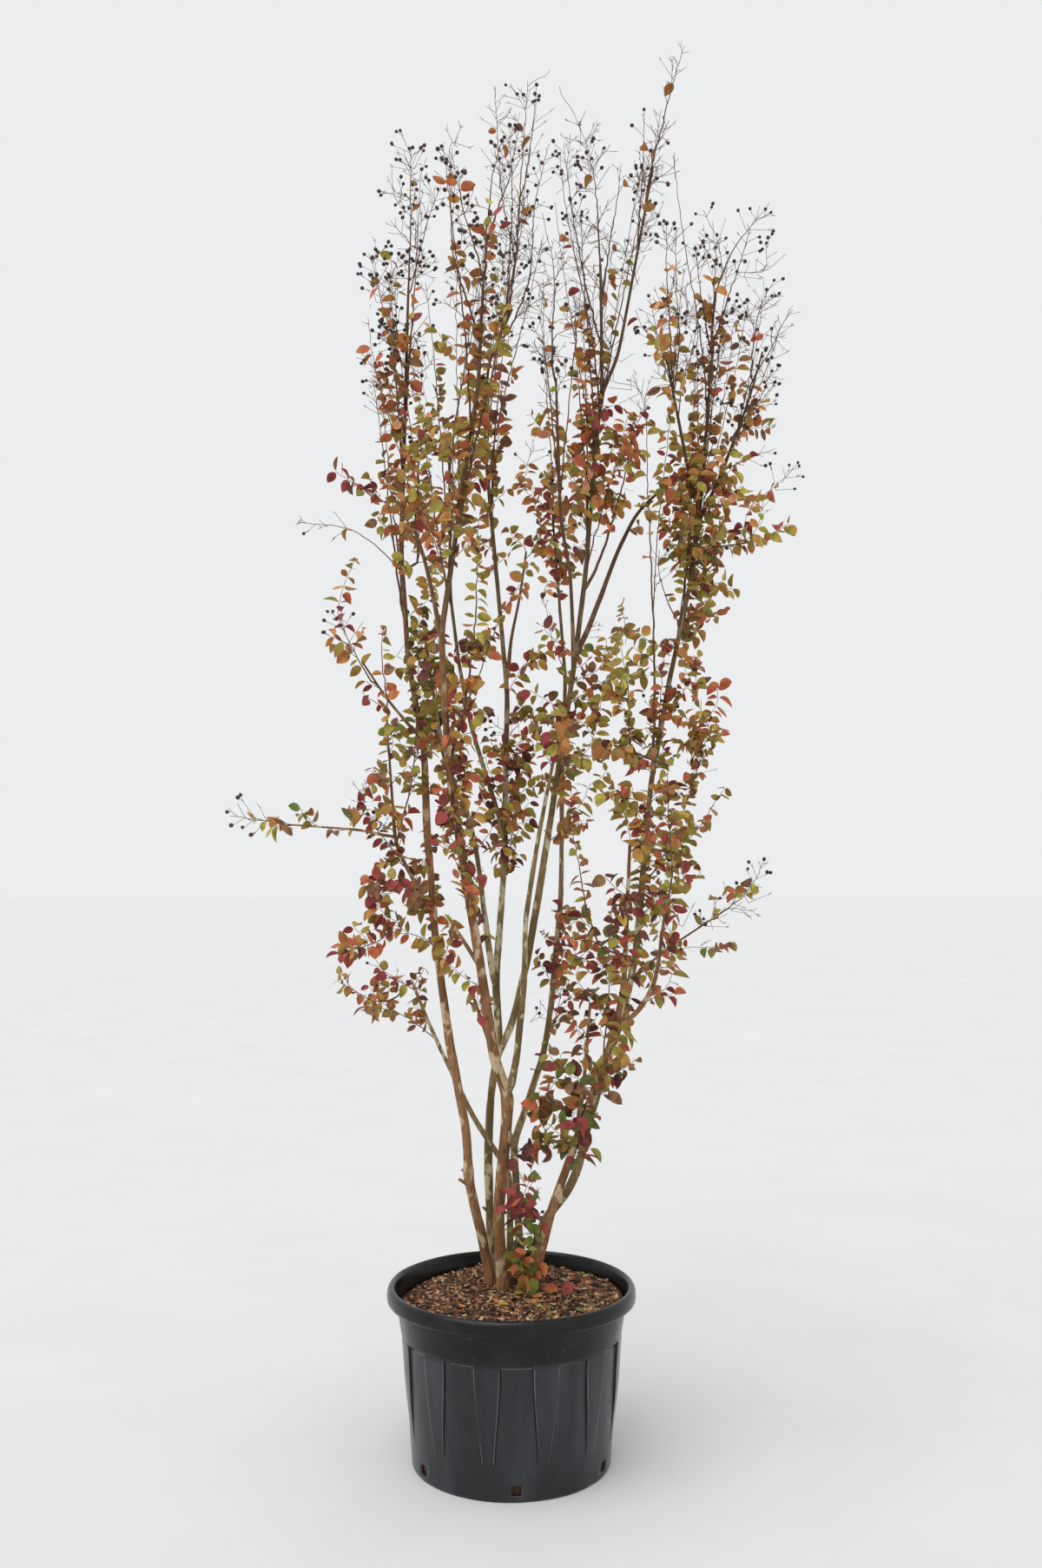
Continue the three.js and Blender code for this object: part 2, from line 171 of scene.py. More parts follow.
class Finish:
    """One material on a Principled shader, and what is laid on it."""

    def __init__(self, name, colour, roughness, specular=0.5):
        self.material = bpy.data.materials.new(name)
        self.material.use_nodes = True
        self.tree = self.material.node_tree
        self.shader = self.tree.nodes["Principled BSDF"]
        self.shader.inputs["Base Color"].default_value = colour
        self.shader.inputs["Roughness"].default_value = roughness
        self.shader.inputs["Specular IOR Level"].default_value = specular

    def place(self, group, *values):
        """The mask of a node group, placed with its own values."""
        node = self.tree.nodes.new("ShaderNodeGroup")
        node.node_tree = group
        for socket, value in zip(node.inputs, values):
            socket.default_value = value
        return node.outputs["Mask"]

    def mottle(self, scale, stretch=1.0, between=(0.4, 0.6), values=(0.0, 1.0)):
        return self.place(MOTTLE, scale, stretch, *between, *values)

    def mix(self, mask, first, second):
        """A colour that goes from first to second with the mask. Either may be a socket."""
        node = self.tree.nodes.new("ShaderNodeMix")
        node.data_type = "RGBA"
        self.tree.links.new(mask, node.inputs["Factor"])
        for socket, colour in (("A", first), ("B", second)):
            target = next(s for s in node.inputs if s.name == socket and s.type == "RGBA")
            if isinstance(colour, bpy.types.NodeSocket):
                self.tree.links.new(colour, target)
            else:
                target.default_value = colour
        return next(s for s in node.outputs if s.type == "RGBA")

    def paint(self, mask, first, second):
        self.tree.links.new(self.mix(mask, first, second), self.shader.inputs["Base Color"])

    def roughen(self, mask):
        self.tree.links.new(mask, self.shader.inputs["Roughness"])

    def relief(self, height, strength, depth):
        """Small relief over any that is there: depth in metres where the mask goes from 0 to 1."""
        node = self.tree.nodes.new("ShaderNodeBump")
        for link in self.shader.inputs["Normal"].links:
            self.tree.links.new(link.from_socket, node.inputs["Normal"])
        node.inputs["Strength"].default_value = strength
        node.inputs["Distance"].default_value = depth
        self.tree.links.new(height, node.inputs["Height"])
        self.tree.links.new(node.outputs["Normal"], self.shader.inputs["Normal"])


def pot_material():
    """Darker on the band and rim than on the wall below them, scuffed all over."""
    pot = Finish("charcoal_plastic", rgb(30, 31, 32), 0.34, 0.33)
    band = pot.place(HEIGHT_MASK, 0.355, 0.385)
    wall = pot.mix(pot.mottle(7.0, 0.3, (0.4, 0.7)), rgb(35, 37, 40), rgb(54, 56, 60))
    band_tone = pot.mix(pot.mottle(11.0, 2.0, (0.45, 0.7)), rgb(6, 6, 7), rgb(20, 21, 23))
    both = pot.mix(band, wall, band_tone)
    worn = pot.mix(pot.mottle(55.0, 1.0, (0.64, 0.74), (0.0, 0.6)), both, rgb(58, 60, 62))
    pot.paint(pot.mottle(190.0, 1.0, (0.70, 0.74), (0.0, 0.7)), worn, rgb(98, 94, 88))
    pot.roughen(pot.mottle(13.0, 0.6, (0.35, 0.7), (0.18, 0.32)))
    pot.relief(pot.mottle(240.0, 1.0, (0.3, 0.7)), 0.25, 0.0005)
    return pot.material


def worn_and_highlight_edge_material():
    """The same plastic on its edges, pale partly where handling has rubbed it and partly as painted
    highlight, and on the rim's under lip as a painted reflection of the floor.
    """
    edge = Finish("worn_and_highlight_plastic_edge", rgb(64, 66, 70), 0.22)
    edge.paint(edge.mottle(24.0, 0.25, (0.36, 0.6)), rgb(42, 44, 47), rgb(84, 86, 90))
    edge.relief(edge.mottle(240.0, 1.0, (0.3, 0.7)), 0.25, 0.0005)
    return edge.material


def painted_shade_step_material():
    """Painted shade: the same plastic on the steps beside the flutes, painted near black for the
    shade that falls on them.
    """
    step = Finish("painted_shade_plastic_step", rgb(16, 17, 18), 0.3, 0.2)
    step.paint(step.mottle(30.0, 0.4, (0.4, 0.7)), rgb(12, 12, 13), rgb(30, 31, 32))
    return step.material


def flute_columns(height):
    """Angles round the pot, in degrees, and how proud a flute stands at each, 0 to 1.
    The columns follow the edges of the flutes, which draw together towards the foot."""
    rise = smoothstep(FLUTE_RUN_OUT, POT_WALL_TOP, height)
    half = FLUTE_HALF_FOOT + (FLUTE_HALF_TOP - FLUTE_HALF_FOOT) * rise
    edge = [(half, 1.0), (half + 0.22 * FLUTE_EDGE, 0.84), (half + 0.8 * FLUTE_EDGE, 0.12)]
    foot = half + FLUTE_EDGE
    hole = 180 / FLUTES - DRAIN_HALF_ANGLE
    flat = [(foot + share * (hole - foot), 0.0) for share in (0, 0.3, 0.65)] + [(hole, 0.0)]
    crown = [(0.35 * half, 1.0), (0.7 * half, 1.0), (0.94 * half, 1.0)]
    side = crown + edge + flat
    sector = [(-180 / FLUTES, 0.0)] + [(-a, p) for a, p in reversed(side)] + [(0.0, 1.0)] + side
    return [
        (FLUTE_TURN + 360 * k / FLUTES + angle, proud)
        for k in range(FLUTES)
        for angle, proud in sector
    ]


def wall_radius(height):
    """Outer radius of the tapering wall, and of its top edge above that."""
    t = (min(height, POT_WALL_TOP) - POT_WALL_FOOT) / (POT_WALL_TOP - POT_WALL_FOOT)
    return POT_BASE_RADIUS + t * (POT_WALL_TOP_RADIUS - POT_BASE_RADIUS)


def pot_profile():
    """Radius, height and share of the flutes, from the foot up outside and down again inside."""
    rows = [(POT_BASE_RADIUS - 0.008, 0.0, 0), (POT_BASE_RADIUS - 0.002, 0.002, 0)]
    for height in [POT_WALL_FOOT, 0.013, *DRAINS, *np.linspace(0.056, POT_WALL_TOP, 34)]:
        rows.append((wall_radius(height), height, smoothstep(FLUTE_RUN_OUT, 0.25, height)))
    rows.append((POT_WALL_TOP_RADIUS + 0.0045, BAND_FOOT - 0.0035, 0.35))
    for t in (0, 0.03, 0.3, 0.6, 0.85, 0.97):
        radius = BAND_FOOT_RADIUS + t * (BAND_TOP_RADIUS - BAND_FOOT_RADIUS)
        rows.append((radius, BAND_FOOT + t * (BAND_TOP - BAND_FOOT), 0))
    for out, up in RIM_OUTLINE:
        rows.append((RIM_RADIUS + out / 1000, POT_HEIGHT - RIM_DEPTH + up / 1000, 0))
    inside = [(BAND_TOP_RADIUS, BAND_TOP), (BAND_FOOT_RADIUS, BAND_FOOT)]
    inside += [(wall_radius(height), height) for height in (POT_WALL_TOP, *reversed(DRAINS), 0.006)]
    return rows + [(radius - POT_SHELL, height, 0) for radius, height in inside]


def build_pot():
    profile = pot_profile()
    columns = len(flute_columns(0))
    per_flute = columns // FLUTES
    corners, faces, finish = [], [], []
    for radius, height, share in profile:
        for angle, proud in flute_columns(height):
            turn = math.radians(angle)
            out = Vector((math.sin(turn), -math.cos(turn), 0))
            waver = WALL_WAVER * noise.noise(out * 2.2 + Vector((0, 0, height * 3)))
            fray = FOOT_FRAY * max(noise.noise(out * 30), 0) if 0 < height < 0.01 else 0
            reach = radius + waver + fray + share * proud * FLUTE_PROUD
            corners.append(out * reach + Vector((0, 0, height)))

    def is_hole(row, column):
        heights = sorted((profile[row][1], profile[row + 1][1]))
        beside = column % (2 * per_flute) in (0, 2 * per_flute - 1)
        return beside and heights[0] >= DRAINS[0] - 1e-6 and heights[1] <= DRAINS[2] + 1e-6

    def finish_of(row, column):
        radius, height, share = profile[row]
        # Painted highlight: the bevel over each recess, under the band, gets the pale edge finish.
        if height == POT_WALL_TOP:
            return WORN_AND_HIGHLIGHT if column in BESIDE_FLUTE else PLAIN
        # Painted shade: the steps beside the raised flutes get the near-black finish.
        if share > 0.12 and column in FLUTE_STEPS:
            return SHADED_STEP
        # The rim's under lip gets the pale edge finish as a painted reflection of the floor, the
        # flute corners as painted highlight along with real rubbing.
        lip = abs(radius - (RIM_RADIUS - RIM_LIP)) < 1e-6
        return WORN_AND_HIGHLIGHT if lip or (share > 0.12 and column in FLUTE_CORNERS) else PLAIN

    for row in range(len(profile) - 1):
        for column in range(columns):
            ahead = (column + 1) % columns
            if not is_hole(row, column):
                low, high = row * columns, (row + 1) * columns
                finish.append(finish_of(row, column % per_flute))
                faces.append((low + column, low + ahead, high + ahead, high + column))
    heights = np.array([height for _, height, _ in profile])
    rows_at = [np.flatnonzero(np.abs(heights - level) < 1e-6).tolist() for level in DRAINS]
    for middle in range(0, columns, 2 * per_flute):
        left, right = (middle - 1) % columns, middle + 1
        around = [(0, left), (0, middle), (0, right), (1, right)]
        around += [(2, right), (2, middle), (2, left), (1, left)]
        for (level, column), (next_level, next_column) in zip(around, around[1:] + around[:1]):
            outer, inner = rows_at[level]
            next_outer, next_inner = rows_at[next_level]
            faces.append((
                outer * columns + column,
                next_outer * columns + next_column,
                next_inner * columns + next_column,
                inner * columns + column,
            ))
    last = (len(profile) - 1) * columns
    faces.append(tuple(reversed(range(columns))))
    faces.append(tuple(range(last, last + columns)))
    pot = make_piece("nursery_pot", corners, faces, pot_material(), ["pot"])
    pot.data.materials.append(worn_and_highlight_edge_material())
    pot.data.materials.append(painted_shade_step_material())
    finish += [PLAIN] * (len(faces) - len(finish))
    pot.data.polygons.foreach_set("material_index", finish)


build_pot()

# ---------------------------------------------------------------- compost
# Bark compost, filled to a thumb's breadth under the rim and settled lower on the left. Chips
# of bark in every shade lie loose on it.

COMPOST_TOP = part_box("compost")[1].z
COMPOST_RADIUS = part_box("compost")[1].x - 0.004
SETTLED, SETTLED_LEFT = 0.012, 0.018  # how far it has sunk along the wall, and more on the left
BARK_CHIPS = 5200
CHIP_LENGTHS, LONG_CHIP = (0.0028, 0.0086), 1.9  # half lengths, and how much longer a few are
CHIPS_INSET = 0.012

# Each shade of chip: its colour, and its share of the chips.
CHIP_SHADES = {
    "chip_dark": (rgb(52, 35, 27), 0.40),
    "chip_red": (rgb(132, 82, 52), 0.32),
    "chip_tan": (rgb(188, 138, 92), 0.21),
    "chip_pale": (rgb(222, 194, 148), 0.075),
}


def compost_height(x, y):
    """The lie of the compost: highest round the stems, sunk along the left wall."""
    out = math.hypot(x, y)
    sunk = SETTLED * smoothstep(0.16, 0.33, out)
    sunk += SETTLED_LEFT * smoothstep(0.1, 0.33, -x) * (out / 0.33)
    rough = 0.0035 * noise.noise(Vector((x * 28, y * 28, 0)))
    rough += 0.002 * noise.noise(Vector((x * 90, y * 90, 5)))
    return COMPOST_TOP + 0.002 - sunk + rough * smoothstep(0.03, 0.12, out)


def compost_material():
    crumb = Finish("compost_crumb", rgb(96, 62, 42), 0.95)
    crumbs = crumb.mottle(210.0, 1.0, (0.4, 0.62))
    mixed = crumb.mix(crumbs, rgb(44, 28, 21), rgb(144, 92, 58))
    crumb.paint(crumb.mottle(14.0, 1.0, (0.4, 0.65), (0.0, 0.6)), mixed, rgb(66, 40, 28))
    crumb.relief(crumbs, 0.9, 0.004)
    return crumb.material


def build_compost():
    rings, spokes = 46, 132
    turns = [2 * math.pi * spoke / spokes for spoke in range(spokes)]
    corners = [(0, 0, compost_height(0, 0))]
    for ring in range(1, rings + 1):
        out = COMPOST_RADIUS * ring / rings
        spots = [(out * math.cos(turn), out * math.sin(turn)) for turn in turns]
        corners += [(x, y, compost_height(x, y)) for x, y in spots]
    for height in (BAND_FOOT, POT_WALL_TOP, 0.0065):
        radius = wall_radius(height) - POT_SHELL - 0.001
        corners += [(radius * math.cos(turn), radius * math.sin(turn), height) for turn in turns]
    faces = [(0, 1 + s, 1 + (s + 1) % spokes) for s in range(spokes)]
    for ring in range(rings + 2):
        first, second = 1 + ring * spokes, 1 + (ring + 1) * spokes
        for s in range(spokes):
            ahead = (s + 1) % spokes
            faces.append((first + s, second + s, second + ahead, first + ahead))
    last = 1 + (rings + 2) * spokes
    faces.append(tuple(reversed(range(last, last + spokes))))
    make_piece("compost_fill", corners, faces, compost_material(), ["compost"])


def darker(colour, share):
    return tuple(share * c for c in colour[:3]) + (1.0,)


def chip_corners(rng, x, y):
    """Eight corners of one split chip, tipped and pressed into the compost."""
    length = rng.uniform(*CHIP_LENGTHS)
    length *= LONG_CHIP if rng.random() < 0.16 * (1 + 2 * x) else 1
    width = length * rng.uniform(0.3, 0.6)
    thick = rng.uniform(0.0010, 0.0022)
    turn, tip = rng.uniform(0, 2 * math.pi), rng.gauss(0, 0.3)
    along = Vector((math.cos(turn) * math.cos(tip), math.sin(turn) * math.cos(tip), math.sin(tip)))
    across = Vector((-math.sin(turn), math.cos(turn), rng.gauss(0, 0.3))).normalized()
    up = along.cross(across)
    middle = Vector((x, y, compost_height(x, y) + rng.uniform(0.0, 0.003)))
    corners = []
    for level in (-1, 1):
        for a, b in ((-1, -1), (1, -1), (1, 1), (-1, 1)):
            ragged = Vector((rng.gauss(0, 0.1), rng.gauss(0, 0.1), 0))
            corners.append(
                middle
                + along * length * (a + ragged.x) * rng.uniform(0.75, 1)
                + across * width * (b + ragged.y)
                + up * thick * level
            )
    return corners


def build_chips():
    rng = random.Random(31)
    shades = list(CHIP_SHADES)
    corners = {shade: [] for shade in shades}
    for _ in range(BARK_CHIPS):
        out = (COMPOST_RADIUS - CHIPS_INSET) * math.sqrt(rng.random())
        turn = rng.uniform(0, 2 * math.pi)
        x, y = out * math.cos(turn), out * math.sin(turn)
        shade = rng.choices(shades, [CHIP_SHADES[s][1] for s in shades])[0]
        corners[shade] += chip_corners(rng, x, y)
    sides = [(3, 2, 1, 0), (4, 5, 6, 7), (0, 1, 5, 4), (1, 2, 6, 5), (2, 3, 7, 6), (3, 0, 4, 7)]
    for shade in shades:
        colour = CHIP_SHADES[shade][0]
        chip = Finish(shade, colour, 0.85)
        grain = chip.mottle(420.0, 0.4, (0.35, 0.65))
        chip.paint(grain, colour, darker(colour, 0.6))
        chip.relief(grain, 0.6, 0.001)
        count = len(corners[shade]) // 8
        faces = [tuple(8 * i + c for c in side) for i in range(count) for side in sides]
        name = "compost_" + shade
        make_piece(name, corners[shade], faces, chip.material, [], smooth=False)


build_compost()
build_chips()

# ---------------------------------------------------------------- stems and boughs
# Seven stems stand in a clump, each a single tapering limb with smooth, thin bark that peels to
# paler patches. Some are light brown and some olive and cream, all darker in the crown, and a
# few keep the stub of a side branch that was cut off.

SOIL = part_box("stem_front")[0].z
LIMB_RING = 0.012
STEM_SIDES, BOUGH_SIDES, STUB_SIDES = 16, 12, 9
SLICE_STEP, SLICE_INSET = 0.03, 0.004
HEXAGON_SHARE = 0.91  # mean radius of a six-sided limb over the radius to its corners
FLARE, FLARE_REACH = 0.45, 0.03  # how much thicker a stem is at the foot, and how far up
COLLAR, COLLAR_REACH = 0.3, 0.03  # the same of the collar where a bough leaves its limb
ROOT_DEPTH = 0.045  # how far back along its own line a bough begins inside its limb
STEMS = [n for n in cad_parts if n.startswith("stem_")]
BOUGHS = [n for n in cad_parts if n.startswith("bough_")]
OLIVE_LIMBS = (
    "stem_back", "stem_centre", "stem_back_left", "bough_tall", "bough_back_left",
    "bough_middle_left", "bough_front_right", "stem_outer_right",
)

# Each stub: its limb, where it leaves it, where it is cut, and its radius.
STUBS = [
    ("stem_left", [-0.125, 0.045, 0.776], [-0.157, 0.038, 0.797], 0.0050),
    ("stem_left", [-0.125, 0.045, 0.809], [-0.149, 0.036, 0.826], 0.0040),
    ("stem_back", [-0.069, 0.125, 0.677], [-0.087, 0.112, 0.697], 0.0040),
    ("stem_centre", [0.005, 0.168, 0.870], [-0.010, 0.160, 0.917], 0.0075),
    ("stem_outer_right", [0.269, 0.118, 1.062], [0.293, 0.108, 1.082], 0.0040),
    ("stem_front", [-0.090, -0.148, 1.440], [-0.186, -0.118, 1.585], 0.0050),
    ("stem_front", [-0.055, -0.100, 1.190], [-0.108, -0.106, 1.345], 0.0045),
]

# Swellings where old branches healed over: limb, height, share of the girth.
SWELLING_REACH = 0.022
SWELLINGS = [
    ("stem_right", 1.270, 0.30), ("stem_right", 0.560, 0.18), ("stem_front", 0.566, 0.22),
    ("stem_front", 1.045, 0.30), ("stem_left", 0.812, 0.28), ("stem_back", 1.150, 0.25),
]


def unit(vectors):
    return vectors / np.linalg.norm(vectors, axis=-1, keepdims=True)


def limb_slices(name):
    """Middles and mean radii of a limb's solid, on level cuts across its longest side."""
    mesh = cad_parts[name].data
    mesh.calc_loop_triangles()
    corners = np.array([v.co for v in mesh.vertices])
    triangles = corners[np.array([t.vertices for t in mesh.loop_triangles])]
    axis = int(np.argmax(np.ptp(corners, axis=0)))
    low, high = corners[:, axis].min(), corners[:, axis].max()
    middles, radii = [], []
    levels = max(8, int((high - low) / SLICE_STEP))
    for level in np.linspace(low + SLICE_INSET, high - SLICE_INSET, levels):
        above = triangles[:, :, axis] - level
        ends = []
        for i, j in ((0, 1), (1, 2), (2, 0)):
            cut = above[:, i] * above[:, j] < 0
            t = np.where(cut, above[:, i] / np.where(cut, above[:, i] - above[:, j], 1), np.nan)
            ends.append(triangles[:, i] + t[:, None] * (triangles[:, j] - triangles[:, i]))
        ends = np.stack(ends, axis=1)
        crossing = np.isnan(ends[:, :, 0]).sum(axis=1) == 1
        pairs = np.array([e[~np.isnan(e[:, 0])] for e in ends[crossing]])
        spans = np.linalg.norm(pairs[:, 1] - pairs[:, 0], axis=1)
        spots = pairs.mean(axis=1)
        middle = np.average(spots, axis=0, weights=spans)
        middles.append(middle)
        mean = np.average(np.linalg.norm(spots - middle, axis=1), weights=spans)
        radii.append(mean / HEXAGON_SHARE)
    return np.array(middles), np.array(radii)


def resample(line, step):
    """The same line with points evenly spaced along it."""
    lengths = np.r_[0, np.cumsum(np.linalg.norm(np.diff(line, axis=0), axis=1))]
    stations = np.linspace(0, lengths[-1], max(2, round(lengths[-1] / step) + 1))
    return np.stack([np.interp(stations, lengths, line[:, k]) for k in range(3)], axis=1)


def ease(line, rounds):
    """Rounds off the bends of a line and keeps its two ends."""
    line = line.copy()
    for _ in range(rounds):
        line[1:-1] = (line[:-2] + 2 * line[1:-1] + line[2:]) / 4
    return line


def limb_line(name):
    """Centreline and radii of a limb from foot to tip, as even as its solid tapers."""
    middles, radii = limb_slices(name)
    ways = unit(np.gradient(middles, axis=0))
    upright = np.abs(ways[:, int(np.argmax(np.ptp(middles, axis=0)))])
    radii = radii * 2 / (1 + 1 / upright)
    start = len(radii) // 4
    slope, level = np.polyfit(np.arange(start, len(radii)), radii[start:], 1)
    if slope > 0:
        middles, radii = middles[::-1], radii[::-1]
        slope, level = np.polyfit(np.arange(start, len(radii)), radii[start:], 1)
    even = slope * np.arange(len(radii)) + level
    whole = int(np.argmax(radii > 0.85 * even))
    line = resample(ease(resample(middles[whole:], 0.02), 3), LIMB_RING)
    return line, np.linspace(even[whole], even[-1], len(line))


def tube(line, radii, sides, shape=None):
    """Ring corners and faces of a round limb, closed at both ends."""
    ways = unit(np.gradient(line, axis=0))
    reference = np.eye(3)[int(np.argmin(np.abs(ways.mean(axis=0))))]
    side = unit(reference - (ways @ reference)[:, None] * ways)
    across = np.cross(ways, side)
    turns = np.arange(sides) * 2 * math.pi / sides
    turned, wound = np.cos(turns)[None, :, None], np.sin(turns)[None, :, None]
    ring = side[:, None] * turned + across[:, None] * wound
    reach = np.asarray(radii)[:, None] * (1 if shape is None else shape(line, turns))
    corners = (line[:, None] + ring * (reach * np.ones((1, sides)))[:, :, None]).reshape(-1, 3)
    faces = []
    for i in range(len(line) - 1):
        for s in range(sides):
            ahead = (s + 1) % sides
            first, second = i * sides, (i + 1) * sides
            faces.append((first + s, first + ahead, second + ahead, second + s))
    faces.append(tuple(reversed(range(sides))))
    faces.append(tuple(range((len(line) - 1) * sides, len(line) * sides)))
    return corners, faces


def join_tubes(tubes):
    """Many tubes, each (line, radii, sides, shape), as one set of corners and faces."""
    corners, faces, base = [], [], 0
    for made in tubes:
        ring_corners, ring_faces = tube(*made)
        corners.append(ring_corners)
        faces += [tuple(base + c for c in face) for face in ring_faces]
        base += len(ring_corners)
    return np.vstack(corners), faces


def sinewy(seed, swellings):
    """The uneven girth of a myrtle stem: slow ridges that wind up it, small lumps and knots."""
    def shape(line, turns):
        girth = np.ones((len(line), len(turns)))
        for i, point in enumerate(line):
            height = point[2] + seed
            ridge = noise.noise(Vector((height * 2.6, seed, 0))) * math.pi
            knot = max(noise.noise(Vector((height * 8.0, 3.7 * seed, 2.0))) - 0.3, 0)
            near = [(gain, (point[2] - level) / SWELLING_REACH) for level, gain in swellings]
            swell = sum(gain * math.exp(-(away**2)) for gain, away in near)
            slow = 0.05 * noise.noise(Vector((height * 7.0, seed, 9.0)))
            for s, turn in enumerate(turns):
                wound = 0.08 * math.sin(2 * turn + ridge) + 0.05 * math.sin(3 * turn - 1.7 * ridge)
                around = Vector((math.cos(turn), math.sin(turn), height * 16))
                lump = 0.08 * noise.noise(around) + 0.04 * noise.noise(around * 2.7)
                burr = 0.7 * knot * max(math.cos(turn - ridge * 3), 0) ** 3
                bulge = swell * (0.75 + 0.25 * math.cos(turn - ridge))
                girth[i, s] += wound + lump + slow + burr + bulge
        return girth
    return shape


def bark_material(name, wood, patch, crown, fleck, patch_between, patch_scale):
    """Thin bark: peeled patches, streaks and flecks low down, one darker shade in the crown."""
    bark = Finish(name, wood, 0.72, 0.2)
    streaks = bark.mottle(210.0, 0.14, (0.35, 0.65))
    streaked = bark.mix(streaks, wood, darker(wood, 0.62))
    clouded = bark.mix(bark.mottle(13.0, 0.4, (0.42, 0.60), (0.0, 0.85)), streaked, fleck)
    patches = bark.mottle(patch_scale, 0.55, patch_between, (0.0, 0.88))
    patched = bark.mix(patches, clouded, patch)
    specked = bark.mix(bark.mottle(120.0, 0.6, (0.60, 0.68), (0.0, 0.8)), patched, fleck)
    dark = bark.mix(streaks, crown, darker(crown, 0.6))
    bark.paint(bark.place(HEIGHT_MASK, 1.85, 2.75), specked, dark)
    bark.roughen(bark.mottle(30.0, 0.4, (0.35, 0.65), (0.55, 0.85)))
    bark.relief(bark.mottle(75.0, 0.1, (0.3, 0.7)), 0.7, 0.004)
    bark.relief(streaks, 0.7, 0.0018)
    return bark.material


BROWN_BARK = bark_material(
    "bark_brown", rgb(168, 124, 84), rgb(212, 188, 152), rgb(112, 84, 60), rgb(114, 78, 48),
    (0.54, 0.62), 25.0,
)
OLIVE_BARK = bark_material(
    "bark_olive", rgb(158, 134, 94), rgb(212, 200, 166), rgb(112, 92, 62), rgb(100, 86, 50),
    (0.53, 0.61), 29.0,
)


def joined_line(line, radii, parent_line, parent_radii):
    """The bough's line, begun inside the limb that it grew from, with a swollen collar."""
    way = unit(line[0] - line[min(6, len(line) - 1)])
    root_spot = line[0] + way * ROOT_DEPTH
    nearest = parent_line[int(np.argmin(np.linalg.norm(parent_line - root_spot, axis=1)))]
    start = resample(np.array([nearest, (nearest + line[0]) / 2 + way * 0.004, line[0]]), LIMB_RING)
    joined = np.vstack([start[:-1], line])
    near = np.linalg.norm(joined - line[0], axis=1)
    swell = 1 + COLLAR * np.exp(-near / COLLAR_REACH)
    girth = np.r_[np.full(len(start) - 1, radii[0]), radii] * swell
    widest = 0.86 * parent_radii[int(np.argmin(np.linalg.norm(parent_line - line[0], axis=1)))]
    return ease(joined, 2), np.minimum(girth, np.maximum(widest, radii[0]))


def limb_lines():
    """Every limb by name: stems flared at the foot, boughs begun inside the limb they grow from."""
    lines = {name: limb_line(name) for name in STEMS + BOUGHS}
    for name in STEMS:
        line, radii = lines[name]
        line[0, 2] = SOIL - 0.003
        rise = line[:, 2] - SOIL
        lines[name] = (line, radii * (1 + FLARE * np.exp(-np.maximum(rise, 0) / FLARE_REACH)))
    joined = dict(lines)
    for name in BOUGHS:
        line, radii = lines[name]
        others = [n for n in lines if n != name]
        parent = min(others, key=lambda n: np.linalg.norm(lines[n][0] - line[0], axis=1).min())
        joined[name] = joined_line(line, radii, *lines[parent])
    return joined


LIMBS = limb_lines()


def build_limbs():
    for number, (name, (line, radii)) in enumerate(LIMBS.items()):
        swellings = [(level, gain) for limb, level, gain in SWELLINGS if limb == name]
        sides = STEM_SIDES if name in STEMS else BOUGH_SIDES
        tubes = [(line, radii, sides, sinewy(1.37 * number, swellings))]
        for limb, foot, end, radius in STUBS:
            if limb == name:
                stub = resample(np.array([foot, end]), 0.01)
                girths = np.linspace(1.35, 0.9, len(stub)) * radius
                tubes.append((stub, girths, STUB_SIDES, sinewy(radius * 900, [])))
        corners, faces = join_tubes(tubes)
        bark = OLIVE_BARK if name in OLIVE_LIMBS else BROWN_BARK
        make_piece(name + "_bark", corners, faces, bark, [name])


build_limbs()

# ---------------------------------------------------------------- twigs
# Long upright shoots stand close together up the limbs, and thin side shoots spring from those.
# A shoot ends in a leafy spray, in a loose head of seed capsules, or in the bare stalks of one.

TWIG_SIDES, STALK_SIDES = 5, 3
TWIG_TIP, TWIG_LEAST = 0.0008, 0.0009
STALK_FOOT, STALK_END = 0.0009, 0.0007
TWIG_RING = 0.024
CROWN_FOOT, CROWN_MIDDLE = 0.5, 2.6
SPRAY_REACH = 0.13
HEAD_SIZES, HEAD_JOINT = (0.06, 0.15), 0.028
BEARING_HEAD, BARE_HEAD = 0.46, 0.03  # the share of a head's stalks that hold a capsule

